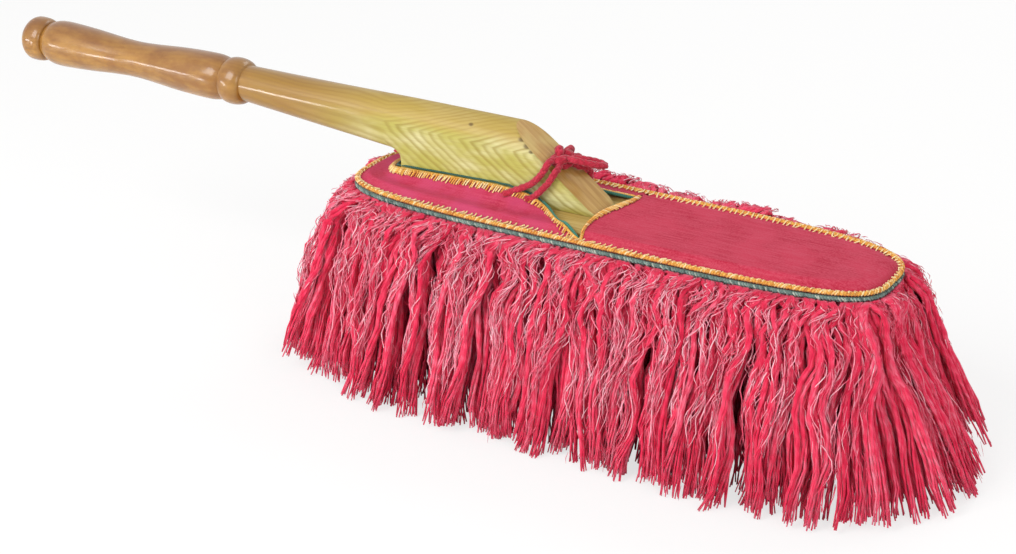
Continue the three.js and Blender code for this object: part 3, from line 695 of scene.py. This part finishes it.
print("cloth rises", round((COVER_TOP - RIM) * 1000, 1), "mm from the seam to the board")

# %% Edge of the slit
SEAM_INSET = -0.0008
NEAR_MOUTH, FAR_MOUTH = length_beside(-0.0065, -1), length_beside(-0.0008, 1)
beside_wedge = [
    (0.139, (-0.066, -0.0178, SEAM + 0.0136)),
    (0.236, (-0.105, -0.0168, SEAM + 0.013)),
    (0.344, (-0.147, -0.0167, SEAM + 0.0114)),
    (0.40, (-0.1572, -0.0137, SEAM + 0.01)),
    (0.45, (-0.1612, -0.006, SEAM + 0.0088)),
]
slit_keys = [
    (0.0, (-0.0065, -0.0418, RIM + 0.0006)),
    (0.039, (-0.026, -0.0322, SEAM + 0.0057)),
    (0.076, (-0.041, -0.0212, SEAM + 0.0085)),
    (0.099, (-0.05, -0.0188, SEAM + 0.0115)),
    *beside_wedge,
    (0.5, (-0.1622, 0.0, SEAM + 0.0084)),
    *((1 - share, (x, -y, z)) for share, (x, y, z) in reversed(beside_wedge)),
    (0.906, (-0.046, 0.0197, SEAM + 0.0108)),
    (0.954, (-0.024, 0.0224, SEAM + 0.0077)),
    (1.0, (-0.0008, 0.025, SEAM + 0.0064)),
]


def rear_outer(share):
    return outline_along(NEAR_MOUTH + (FAR_MOUTH - NEAR_MOUTH) * share, SEAM_INSET)[0]


def rear_point(share, across):
    """A point of the rear panel: share goes from the near mouth round the rear to the far mouth."""
    a, b = keyed(share, slit_keys), rear_outer(share)
    spot = a.lerp(b, across)
    tent = RIM + (a.z - RIM) * (1 - across) ** 1.7
    flat = laid(spot.x, spot.y)
    spot.z = (tent + flat + math.hypot(tent - flat, 0.001 * (1 - across))) / 2
    pull = min(share, 1 - share) - 0.135
    fold = math.exp(-((pull / 0.055) ** 2)) * math.sin(pull * 230 + 1.2) * 4 * across * (1 - across) ** 2
    spot.z += 0.0009 * fold
    return spot


print("seam behind the opening:", round(NEAR_MOUTH - FAR_MOUTH, 3), "m")

# %% Cloth finish
cloth_red = Finish("crimson_cloth", {"Roughness": 0.75, "Sheen Weight": 0.1, "Sheen Roughness": 0.35})
cloth_red.shader.inputs["Specular IOR Level"].default_value = 0.2
cloth_red.shader.inputs["Sheen Tint"].default_value = hue("ff9ac0")
x, y, z = cloth_red.millimetres()
WEAVE = 5.2
weave = cloth_red.math("SINE", x * WEAVE) * cloth_red.math("SINE", y * WEAVE + z * 2.5) * 0.5 + 0.5
cloudy = cloth_red.noise(cloth_red.place(), 45, 4.0)
slub = cloth_red.grain((60, 900, 900), 3.0)
speckle = cloth_red.noise(cloth_red.place(), 850, 2.0, 0.7)
mottle = cloth_red.step(cloudy, 0.35, 0.65)
cloth_tone_and_sheen = cloth_red.mix(mottle, "b21e38", "c8344e")
cloth_tone_and_sheen = cloth_red.mix(cloth_red.step(slub * 0.5 + speckle * 0.5, 0.36, 0.66), cloth_tone_and_sheen, "cc4c62")
# The rear panel and its flaps get a magenta overlay that follows the cloudy patches: painted sheen.
cloth_tone_and_sheen = cloth_red.mix((1 - cloth_red.step(x, -60, 10)) * (0.2 + mottle * 0.55), cloth_tone_and_sheen, "c94a74")
cloth_tone_and_sheen = cloth_red.mix(weave * 0.4, cloth_tone_and_sheen, "931636")
cloth_red.feed("Base Color", cloth_tone_and_sheen)
cloth_red.bump(weave + slub * 0.5 + cloudy * 0.5, 0.35, 0.0004)
print("weave: a thread every 1.2 mm")


# %% Panels
def thicken(made, thickness):
    layer = made.modifiers.new("cloth_thickness", "SOLIDIFY")
    layer.thickness = thickness
    layer.offset = -1


def panel(name, point, columns, rows, nodes):
    """A grid of faces laid out by point, and its area."""
    shape = bmesh.new()
    bmesh.ops.create_grid(shape, x_segments=columns, y_segments=rows, size=0.5)
    for v in shape.verts:
        v.co = point(v.co.x + 0.5, v.co.y + 0.5)
    bmesh.ops.remove_doubles(shape, verts=shape.verts, dist=2e-5)
    bmesh.ops.dissolve_degenerate(shape, edges=shape.edges, dist=1e-6)
    bmesh.ops.recalc_face_normals(shape, faces=shape.faces)
    if sum(f.normal.z for f in shape.faces) < 0:
        bmesh.ops.reverse_faces(shape, faces=shape.faces)
    area = sum(f.calc_area() for f in shape.faces)
    mesh = shape_to_mesh(shape, name)
    mesh.shade_smooth()
    made = piece(name, mesh, [cloth_red], nodes)
    thicken(made, CLOTH)
    return made, area


rear_panel, area = panel("rear_panel", rear_point, 170, 18, ["rear_cover"])
print("rear panel", round(area * 1e4), "cm2")

front_keys = [
    (-1.0, (-0.0042, -0.0424, 0)),
    (-0.54, (-0.0076, -0.0229, 0)),
    (-0.12, (-0.0068, -0.0051, 0)),
    (0.18, (-0.0032, 0.0076, 0)),
    (0.52, (0.0005, 0.022, 0)),
    (1.0, (0.0012, 0.0424, 0)),
]
NEAR_POCKET, FAR_POCKET = length_beside(-0.0042, -1) - GIRTH, length_beside(0.0012, 1)


def front_edge(across):
    spot = keyed(across, front_keys)
    spot.z = laid(spot.x, spot.y) + 0.0014 * max(0.0, 1 - across * across)
    return spot


def front_point(share, ahead):
    """A point of the front pocket: share goes from the near side to the far side."""
    a = front_edge(2 * share - 1)
    b = outline_along(NEAR_POCKET + (FAR_POCKET - NEAR_POCKET) * share, SEAM_INSET)[0]
    spot = a.lerp(b, ahead)
    lip = (a.z - laid(a.x, a.y)) * max(0.0, 1 - ahead * 9)
    spot.z = laid(spot.x, spot.y) + lip + 0.0005 * math.sin(math.pi * ahead)
    return spot


front_panel, area = panel("front_panel", front_point, 110, 36, ["front_cover"])
print("front panel", round(area * 1e4), "cm2")

# %% Backing cloth
BACKING_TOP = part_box("backing_cloth")[1].z
BACKING_CLOTH = 0.0011
shape = bmesh.new()
bmesh.ops.create_circle(shape, cap_ends=True, segments=96, radius=1)
for v in shape.verts:
    spot = outline(math.atan2(v.co.y, v.co.x), -0.0027)[0]
    v.co = (spot.x, spot.y, BACKING_TOP)
for _ in range(3):
    middle = [f for f in shape.faces if len(f.verts) > 4]
    bmesh.ops.inset_region(shape, faces=middle, thickness=0.008, depth=0)
area = sum(f.calc_area() for f in shape.faces)
mesh = shape_to_mesh(shape, "backing_sheet")
backing = piece("backing_sheet", mesh, [cloth_red], ["backing_cloth"])
thicken(backing, BACKING_CLOTH)
print("backing", round(area * 1e4), "cm2")

# %% [markdown]
# ## Overlocked edges
# An overlock seam wraps thread round a cut edge. From a step away it reads as a bright rope along the edge, with a comb
# of short stitches on the cloth. A core runs along the edge, ribs lie round it, and each stitch is a bent thread of a
# few faces laid on the cloth. The outer seam is yellow above and grey green below. The opening's edges are yellow, and
# a teal thread follows the slit's edge on the side of the wood, thick near the opening and thin along the wedge. Its
# darker stretch along the wedge and its far end are partly painted shade in the gap between flap and wood.


# %% Thread finishes
def thread_finish(name, low, middle, high):
    made = Finish(name, {"Roughness": 0.6, "Sheen Weight": 0.2})
    turn, along = made.thread_uv()
    ply = made.math("SINE", turn * TURN + along * 4200.0)
    made.feed("Base Color", made.ramp(made.attribute("tone") + ply * 0.09, (0.1, low), (0.5, middle), (0.9, high)))
    made.bump(ply, 0.4, 0.0003)
    return made


yellow = thread_finish("yellow_thread", "bf6c1c", "e8aa3c", "f6e4ae")
green = thread_finish("green_thread", "34504c", "708f88", "bccabb")
teal = thread_finish("teal_thread", "0c4a40", "1a6f5c", "58a88c")
chance = np.random.default_rng(7)
SEAM_THREAD = 0.00145
RIB_PITCH = 0.0019
STITCH_PITCH = 0.0037
print("threads: yellow, green and teal")


# %% Outer seam
def near_tone(middle, spread):
    return float(np.clip(chance.normal(middle, spread), 0, 1))


def seam_ring(up, rib, turns):
    """A core round the seam with ribs laid round it. Turns are the angles that each rib covers."""
    core = [outline_along(length)[0] for length in np.linspace(0, GIRTH, 281)]
    threads = ([], [], [])
    add_thread(threads, [spot + Vector((0, 0, up + rim_lift(spot.y))) for spot in core], SEAM_THREAD, 0.45)
    for k in range(int(GIRTH / RIB_PITCH)):
        start, slant = (k + chance.normal(0.5, 0.08)) * RIB_PITCH, chance.normal(0.0007, 0.0002)
        wrap = []
        for i, turn in enumerate(np.radians(turns)):
            spot, normal = outline_along(start + slant * i)
            height = up + rim_lift(spot.y) + SEAM_THREAD * math.sin(turn)
            wrap.append(spot + normal * SEAM_THREAD * math.cos(turn) + Vector((0, 0, height)))
        add_thread(threads, wrap, rib, near_tone(0.5, 0.24))
    return threads


upper = seam_ring(SEAM + 0.0011, 0.00048, (-35, 15, 65, 115))
for k in range(int(GIRTH / STITCH_PITCH)):
    start, slant = (k + chance.normal(0.5, 0.06)) * STITCH_PITCH, chance.normal(0.0004, 0.0003)
    spot, normal = outline_along(start)
    near = math.exp(-(((spot.x + 0.05) / 0.11) ** 4)) if normal.y < -0.5 else 0.0
    reach = (0.0008 + 0.0022 * near + 0.0016 * max(0.0, normal.y)) * chance.uniform(0.85, 1.15)
    stitch = [spot + normal * 0.0008 + Vector((0, 0, SEAM + 0.0024 + rim_lift(spot.y)))]
    for i, share in enumerate((0.15, 0.5, 0.8, 1.0)):
        spot, normal = outline_along(start + slant * i, -0.001 - reach * share)
        stitch.append(spot + Vector((0, 0, laid(spot.x, spot.y) + 0.0009 - 0.0004 * share)))
    add_thread(upper, stitch, 0.0006, near_tone(0.84, 0.08))
thread_piece("yellow_seam", upper, yellow, ["edge_thread_upper"])
lower = seam_ring(SEAM - 0.0024, 0.00055, (50, 10, -40, -90))
thread_piece("green_seam", lower, green, ["edge_thread_lower"])
print("outer seam threads:", len(upper[0]), "yellow and", len(lower[0]), "green")


# %% Edges of the opening
def off_cloth(point, share, across, off):
    """A place above a panel's face by off, at right angles to the cloth."""
    inside = min(max(share, 0.004), 0.996)
    along = point(inside + 0.003, across) - point(inside - 0.003, across)
    inward = point(inside, across + 0.03) - point(inside, across)
    normal = along.cross(inward).normalized()
    spot = point(clamp(share), across)
    return spot + normal * math.copysign(1, normal.z) * off


def mouth_edge(name, point, wide, count, reach, last, nodes):
    """Yellow stitches along an edge of cloth. Gives back the line just off the edge, on the side of the opening."""
    shares = np.linspace(0, last, count)
    threads = ([], [], [])
    add_thread(threads, [off_cloth(point, s, 0.0, 0.0006) for s in shares], 0.0012, 0.45)
    for s in shares[1:-1]:
        s = s + chance.normal(0, 0.12) / count
        long = reach * chance.uniform(0.75, 1.2) / wide(s)
        start = off_cloth(point, s, 0.0, -0.0006)
        heights = enumerate((0.0018, 0.0015, 0.0011, 0.0005))
        wrap = [off_cloth(point, s + 0.4 * i / count, long * i / 3, height) for i, height in heights]
        add_thread(threads, [start, *wrap], 0.00052, near_tone(0.6, 0.2))
    thread_piece(name, threads, yellow, nodes)
    line = [2 * off_cloth(point, s, 0.0, 0.0002) - off_cloth(point, s, 0.0021 / wide(s), 0.0002) for s in shares]
    return np.array(line)


def rear_wide(share):
    """How wide the rear panel is there, seen from above."""
    return max((keyed(clamp(share), slit_keys) - rear_outer(share)).to_2d().length, 0.004)


inside = mouth_edge("rear_edge", rear_point, rear_wide, 230, 0.0034, 1.0, ["rear_mouth_thread"])
mouth_edge("front_edge", front_point, lambda share: 0.185, 50, 0.0036, 0.82, ["front_mouth_thread"])
bright = len(inside) // 12
parts = [inside[: bright + 1], inside[bright:-bright], inside[-bright - 1 :]]
# The teal thread is real near the opening. Its thin middle along the wedge gets the lowest tone and the far end a low
# one: a dark line that is partly thread, partly painted shade in the gap between flap and wood.
threads = (parts, [0.0012, 0.0007, 0.0012], [0.5, 0.12, 0.3])
thread_piece("teal_edge", threads, teal, [])
print("edges of the opening made")

# %% [markdown]
# ## String
# A soft cotton string comes off each flap in two leads, climbs the wedge's side and meets in a knot on the slope,
# with one loop and one tail. Three plies that wind round the line give a real twist, which shows at the edge of the
# string as well as on its face. The leads start on the cloth and climb beside the wood. The knot lies on the slope
# where the photograph shows it, a few millimetres from its solid.


# %% Twisted rope
def carried_frame(line):
    """Two directions square to the line, carried along it without twist."""
    along = np.gradient(line, axis=0)
    along /= np.linalg.norm(along, axis=1)[:, None]
    first = np.cross(along[0], (0.3, 0.5, 0.8))
    firsts = []
    for direction in along:
        first = first - direction * (first @ direction)
        first = first / np.linalg.norm(first)
        firsts.append(first)
    firsts = np.array(firsts)
    return firsts, np.cross(along, firsts)


def rope_mesh(name, line, diameter, plies=3, lay=0.012):
    first, second = carried_frame(line)
    length = lengths_along(line)
    middle, radius = 0.2 * diameter, 0.4 * diameter
    lines = []
    for ply in range(plies):
        turn = (TURN * (length / lay + ply / plies))[:, None]
        lines.append(line + middle * (np.cos(turn) * first + np.sin(turn) * second))
    return thread_mesh(name, lines, [radius] * plies, [0.35, 0.5, 0.65], sides=6)


print("string: three plies, one turn in 12 mm")

# %% Crimson string finish
STRING = 0.004
string_red = Finish("crimson_string", {"Roughness": 0.85, "Sheen Weight": 0.2, "Sheen Roughness": 0.5})
turn, along = string_red.thread_uv()
hairs = string_red.noise(string_red.vector(turn * 3.0 + along * 420.0, along * 260.0), 2.2, 3.0)
string_red.feed("Base Color", string_red.ramp(hairs, (0.25, "7c0820"), (0.52, "b01030"), (0.8, "cc3a58")))
string_red.bump(hairs, 0.5, 0.0006)
print("string finish made")

# %% Knot
KNOT = Vector((-0.0398, -0.0015, 0.1589))
turns = np.linspace(0, TURN, 73)
trefoil = np.c_[
    (np.sin(turns) + 2 * np.sin(2 * turns)) / 3 * 0.0056,
    (np.cos(turns) - 2 * np.cos(2 * turns)) / 3 * 0.0068,
    -np.sin(3 * turns) * 0.0027,
]
lean = np.array(Matrix.Rotation(SLOPE, 3, "Y"))
mesh = rope_mesh("string_knot", trefoil @ lean.T + np.array(KNOT), STRING * 1.3)
knot = piece("string_knot", mesh, [string_red], ["bow_knot"])
print("knot spans", [round(v * 1000, 1) for v in knot.dimensions])

# %% String routes
FLAP_TOP = SEAM + 0.014
KNOT_X = -0.043
BESIDE = WEDGE_HALF + STRING / 2 + 0.0009


def slope_height(x):
    return WEDGE_FOOT + TIP_THICK + (WEDGE_TIP - x) * math.tan(SLOPE)


def on_cloth(side, share, across):
    return tuple(rear_point(share if side < 0 else 1 - share, across) + Vector((0, 0, 0.4 * STRING)))


def beside(side, ahead, climb):
    x = KNOT_X + ahead
    return (x, side * BESIDE, FLAP_TOP + (slope_height(x) - FLAP_TOP) * climb)


def over_slope(ahead, y, lift):
    x = KNOT_X + ahead
    return (x, y, slope_height(x) + (STRING / 2 + lift) / math.cos(SLOPE))


def corner_route(side):
    return [
        on_cloth(side, 0.152, 0.17),
        on_cloth(side, 0.138, 0.06),
        beside(side, -0.011, 0.24),
        beside(side, -0.0044, 0.6),
        beside(side, -0.001, 0.95),
        over_slope(0.0006, side * (WEDGE_HALF + 0.0009), 0.0015),
        over_slope(0.0014, side * (WEDGE_HALF - 0.0055), 0.0026),
        tuple(KNOT),
    ]


def edge_route(side):
    return [
        on_cloth(side, 0.112, 0.15),
        on_cloth(side, 0.101, 0.03),
        beside(side, 0, 0.4),
        beside(side, 0.0038, 0.83),
        over_slope(0.006, side * (WEDGE_HALF + 0.0017), 0.0007),
        over_slope(0.0062, side * (WEDGE_HALF - 0.0031), 0.0024),
        tuple(KNOT),
    ]


loop_steps = [
    (0, 0, 0),
    (0.0099, -0.003, 0.0013),
    (0.0179, 0, -0.0003),
    (0.0239, 0.0054, -0.0027),
    (0.0253, 0.011, -0.0043),
    (0.0203, 0.0126, -0.0037),
    (0.0119, 0.0064, -0.0009),
    (0, 0, 0),
]
loop_route = [tuple(KNOT + Vector(step)) for step in loop_steps]
tail_route = [
    tuple(KNOT),
    over_slope(0.0076, 0.005, 0.0018),
    over_slope(0.0104, 0.0086, 0.0011),
    over_slope(0.0124, WEDGE_HALF - 0.0015, 0.0011),
    beside(1, 0.0134, 1.08),
    beside(1, 0.0136, 0.34),
    beside(1, 0.0144, -0.1),
]
routes = {
    "tie_string_near_a": (corner_route(-1), "knot"),
    "tie_string_near_b": (edge_route(-1), "object"),
    "tie_string_far_a": (corner_route(1), "object"),
    "tie_string_far_b": (edge_route(1), "object"),
    "bow_loop": (loop_route, "object"),
    "bow_tail": (tail_route, "bare"),
}
for node, (points, far_end) in routes.items():
    line = smooth_line(points)
    string = piece("string_" + node, rope_mesh(node, line, STRING), [string_red], [node])
    "taut" if "tie" in node else "loose"
    line[::3].tolist() + [line[-1].tolist()]
    [knot] if far_end == "knot" else []

# %% [markdown]
# ## Yarn
# The mop's yarn leaves the seam outwards, leans over and hangs in locks. A lock is a bunch of soft cords that wander
# together, close up half way down and fan out at the floor, and four neighbours lean together into a tuft. Each cord is
# twisted from a few strands, and its cut end comes undone like a brush. Two shorter rows hang behind the locks, and
# loose fibres lie over them. A strand is a thread of a few dozen faces. The strands of each side are three pieces.

# %% Yarn finish
yarn = Finish("crimson_yarn", {"Roughness": 0.9, "Sheen Weight": 0.5, "Sheen Roughness": 0.4})
yarn.shader.inputs["Specular IOR Level"].default_value = 0.2
yarn.shader.inputs["Sheen Tint"].default_value = hue("ffb4c4")
turn, along = yarn.thread_uv()
tone = yarn.attribute("tone")
twist = yarn.math("SINE", turn * TURN + along * 700.0)
fibres = yarn.noise(yarn.vector(turn * 2.0 + along * 140.0, along * 60.0, tone * 9.0), 3.0, 3.0, 0.6)
# Patches about 16 mm across lighten and darken the yarn: painted highlight and painted shade.
painted_highlight_patch = yarn.grain((60, 60, 30))
painted_light_and_tone = tone * 0.6 + fibres * 0.35 + twist * 0.06 + (painted_highlight_patch - 0.5) * 0.35
# The ramp runs from crimson to near-white pink. Its pale end, reached by fibre noise and high tones, is painted
# highlight on the yarn.
yarn_tones_and_highlights = [(0.08, "bc1a3c"), (0.32, "dc2a4e"), (0.52, "ea4868"), (0.72, "f48098"), (0.95, "ffdbe4")]
yarn.feed("Base Color", yarn.ramp(painted_light_and_tone, *yarn_tones_and_highlights))
yarn.bump(twist * 0.5 + fibres, 0.6, 0.0007)
print("yarn finish made")

# %% How a lock hangs
YARN_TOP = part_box("fringe_near")[1].z
END_SHARE = 10 / 150 / 2  # half the share of the seam that the front fringe takes, and the rear one
LOCKS = 58
PITCH = GIRTH / LOCKS
rng = np.random.default_rng(20)


def fringe_of(share):
    if min(share, 1 - share) < END_SHARE:
        return "front"
    if abs(share - 0.5) < END_SHARE:
        return "rear"
    return "far" if share < 0.5 else "near"


def lock_settings(share, reach):
    """How a lock hangs at this share of the seam. A reach under 1 is a row behind the outer one."""
    spot, normal = outline_along(share * GIRTH)
    ends = [outline_along(share * GIRTH + s * PITCH / 2)[1] for s in (-1, 1)]
    forward = 0.5 + 0.5 * spot.x / HALF_LENGTH
    ahead, far = max(0.0, normal.x), max(0.0, normal.y)
    flare = 0.048 + 0.0115 * forward + 0.016 * ahead * max(0.0, -normal.y)
    flare = flare * reach * rng.uniform(0.92, 1.04)
    fan = 1 + flare * (ends[1] - ends[0]).length / PITCH
    calm = 1 - 0.4 * ahead - 0.25 * far
    rise = 0.01 + 0.036 * far * (1 - 0.75 * forward**2) - 0.004 * normal.x**2
    return SimpleNamespace(
        root=spot - normal * (0.0022 + 0.016 * (1 - reach)),
        clear=0.0058 + 0.016 * (1 - reach),
        normal=normal,
        ahead=ahead,
        flare=flare,
        fan=fan,
        calm=calm,
        lift=rise * reach**8 * rng.uniform(0.75, 1.2),
        drop=YARN_TOP + 0.004 - 0.011 * rng.uniform() ** 2,
        lean=rng.normal(0, 0.006),
        twist=rng.choice([-1, 1]) * rng.uniform(0.4, 1.8) * calm,
        sway=rng.uniform(0.003, 0.006) * calm,
        wave=rng.uniform(0.038, 0.065),
        phase=rng.uniform(0, TURN),
        waist=rng.uniform(0.55, 0.85),
        # Rows behind the outer one get lower tones: painted shade deeper in the yarn.
        tone=rng.normal(0.42 - 0.15 * (1 - reach), 0.05),
    )


# Sizes and lengths of the two waves in each cord
CURLS = [((0.001, 0.0024), (0.022, 0.036)), ((0.0005, 0.0012), (0.014, 0.02))]


def cord_line(lock, across, depth, t):
    """A cord's way out from the seam, along it and down, at shares t of its length."""
    arch = 0.14 * lock.normal.x**2 + 0.25 * lock.ahead
    out = lock.flare * (3 * (1 - t) ** 2 * t * (0.42 - arch) + 3 * (1 - t) * t**2 * (0.77 - arch) + t**3)
    down = lock.drop * (3 * (1 - t) * t**2 * 0.45 + t**3) - 3 * (1 - t) ** 2 * t * lock.lift
    narrow = lock.waist * lock.fan**0.7
    wide = np.interp(t, [0, 0.3, 0.66, 1], [1, 0.9, narrow, 0.9 * lock.fan]) * PITCH / 2
    turned = lock.twist * t
    side = (across * np.cos(turned) - depth * np.sin(turned)) * wide + lock.lean * t * t
    out = out + (across * np.sin(turned) + depth * np.cos(turned)) * np.interp(t, [0, 0.25, 1], [0.0012, 0.0055, 0.006])
    run = lock.drop * t / lock.wave * TURN + lock.phase
    loose = np.clip(t * 5, 0, 1) * (1 - 0.6 * t)
    side = side + lock.sway * np.sin(run) * loose
    out = out + 0.6 * lock.sway * np.cos(run * 0.8 + 1) * loose
    for size, short in [(rng.uniform(*sizes), rng.uniform(*shorts)) for sizes, shorts in CURLS]:
        a, b = rng.uniform(0, TURN, 2)
        curl = lock.drop * t / short * TURN
        side = side + size * lock.calm * np.sin(curl + a) * loose
        out = out + size * lock.calm * np.cos(curl + b) * loose
    return out, side, down


def in_place(lock, out, side, down, radius):
    """The line in the scene. It stays above the floor, and outside the seam as long as it is high."""
    normal = lock.normal
    height = np.maximum(YARN_TOP - 0.0006 - down, radius)
    out = np.maximum(out, lock.clear * np.clip((height - SEAM + 0.01) / 0.008, 0, 1))
    line = np.outer(out, normal) + np.outer(side, (-normal.y, normal.x, 0)) + np.outer(height, (0, 0, 1))
    return line + np.array(lock.root) * (1, 1, 0)


print("locks:", LOCKS, "one every", round(PITCH * 1000, 1), "mm")

# %% Cords and strands
SHARES = np.concatenate([np.linspace(0, 0.66, 12), np.linspace(0.75, 1, 4)])
THICKNESS = np.interp(SHARES, [0, 0.1, 0.75, 1], [0.75, 1, 0.95, 0.42])
WOUND = np.interp(SHARES, [0, 0.12, 0.7], [0.0006, 0.0011, 0.0012])
UNDONE = np.interp(SHARES, [0.55, 0.8, 1], [0, 0.0005, 0.0017])
TUFT = (0.0065, 0.002, -0.002, -0.0065)  # how far each of four locks leans to the tuft's middle
SIDES = ("near", "far", "front", "rear")
fringes, under, fuzz = ({name: ([], [], []) for name in SIDES} for _ in range(3))


def add_cord(lock, strands, found):
    smooth = 1 - lock.calm
    strands = round(strands * (1 - 0.5 * smooth))
    out, side, down = cord_line(lock, rng.uniform(-1.2, 1.2), rng.uniform(-1, 1), SHARES)
    tone = lock.tone + rng.normal(0, 0.09)
    lay = rng.uniform(0.026, 0.04)
    brush = rng.uniform(0, 1) ** 0.7
    length = 1 - 0.08 * rng.uniform() ** 2
    for i in range(strands):
        turn = TURN * (lock.drop * SHARES * (1 - 0.3 * SHARES) / lay + i / strands) + rng.normal(0, 0.3)
        apart = (WOUND + UNDONE * brush) * rng.uniform(0.7, 1.25)
        radius = rng.uniform(0.0009, 0.0012) * (1 + 0.5 * smooth) * THICKNESS
        own = down * (length - rng.uniform(0, 0.025))
        line = in_place(lock, out + apart * np.sin(turn), side + apart * np.cos(turn), own, radius * 0.9)
        add_thread(found, line, radius, clamp(tone + rng.normal(0, 0.1)))


# Of each kind: where it starts and how far it goes, in shares of the yarn; looseness, radius, tone and points
# Curls and streaks get high tones: painted highlights on the yarn.
FIBRES = {
    "curl": ((0, 0.7), (0.07, 0.2), 1.0, 0.00034, (0.75, 1.15), 8),
    "streak": ((0.4, 0.62), (0.2, 0.35), 0.3, 0.0004, (0.6, 1.0), 8),
    "fluff": ((0.02, 0.93), (0.02, 0.06), 1.2, 0.00026, (0.3, 0.8), 3),
}


def add_fibre(lock, kind, found):
    """A loose fibre: a curl high on the lock, a straighter streak low on it, or a short bit of fluff. The pale tones of
    curls and streaks are painted highlights.
    """
    starts, spans, loose, radius, tones, points = FIBRES[kind]
    start = rng.uniform(*starts)
    t = np.linspace(start, min(1.0, start + rng.uniform(*spans)), points)
    out, side, down = cord_line(lock, rng.uniform(-1.2, 1.2), rng.uniform(0.3, 1.2), t)
    turn = TURN * (lock.drop * t / rng.uniform(0.012, 0.026) + rng.uniform())
    apart = rng.uniform(0.0006, 0.0024) * lock.calm * loose
    line = in_place(lock, out + apart * np.sin(turn) + 0.0014, side + apart * np.cos(turn), down, 0.0005)
    taper = np.interp(np.linspace(0, 1, points), [0, 0.25, 0.75, 1], [0.4, 1, 1, 0.35])
    add_thread(found, line, radius * rng.uniform(0.7, 1.3) * taper, rng.uniform(*tones))


ROWS_BEHIND = ((0.88, 5), (0.7, 4))
for k in range(LOCKS):
    share = (k + 0.5 + rng.uniform(-0.2, 0.2)) / LOCKS
    name = fringe_of(share)
    lock = lock_settings(share, 1.0)
    lock.lean += TUFT[k % len(TUFT)] * lock.calm
    for _ in range(round(4 + 2 * lock.fan)):
        add_cord(lock, 6, fringes[name])
    # Curls and streaks thin out on the front and far sides, as painted highlights do away from the main light.
    for i in range(round(84 * lock.calm**3)):
        add_fibre(lock, "curl" if i % 10 else "streak", fuzz[name])
    for _ in range(round(110 + 200 * lock.ahead)):
        add_fibre(lock, "fluff", fuzz[name])
    for reach, count in ROWS_BEHIND:
        behind = lock_settings((share + reach / LOCKS) % 1, reach)
        for _ in range(round(count * (0.5 + 0.5 * behind.fan))):
            add_cord(behind, 5, under[name])
print("strands of yarn:", {name: (len(fringes[name][0]), len(under[name][0])) for name in SIDES})

# %% Fringe pieces
swings = {j["child"]: j for j in frame["joints"]}
for name in SIDES:
    hinge = Vector(swings[name + "_fringe"]["pos_m"])
    for kind, found in (("yarn_", fringes), ("under_", under), ("fuzz_", fuzz)):
        nodes = ["fringe_" + name] if found is fringes else []
        made = thread_piece(kind + name, found[name], yarn, nodes, body=None)
        name + "_fringe"
        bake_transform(made)
        print(made.name, sum(len(f.vertices) - 2 for f in made.data.polygons), "triangles")

# %% Inner yarn
INNER = 1200
GOLDEN_ANGLE = 2.39996
threads = ([], [], [])
for k in range(INNER):
    turned = k * GOLDEN_ANGLE
    ring = math.sqrt((k + 0.5) / INNER)
    spot = outline(turned, -0.0105)[0] * ring
    foot = outline(turned, 0.027)[0] * ring
    t = np.linspace(0, 1, 8)
    sway = rng.uniform(0, TURN, 2)
    line = np.outer(1 - t**0.7, spot) + np.outer(t**0.7, foot)
    line[:, 0] += 0.002 * np.sin(t * 14 + sway[0])
    line[:, 1] += 0.002 * np.sin(t * 14 + sway[1])
    line[:, 2] = YARN_TOP - 0.0006 - t * (YARN_TOP - 0.0022 - rng.uniform(0, 0.008))
    radius = rng.uniform(0.0018, 0.0025) * np.interp(t, [0, 0.8, 1], [1, 1, 0.4])
    add_thread(threads, line, radius, rng.uniform(0.3, 0.6))
threads[0][0][-1, 2] = 0.0008  # the middle strand touches the floor
thread_piece("yarn_inner", threads, yarn, ["inner_yarn_pad"])
print("inner strands:", INNER)
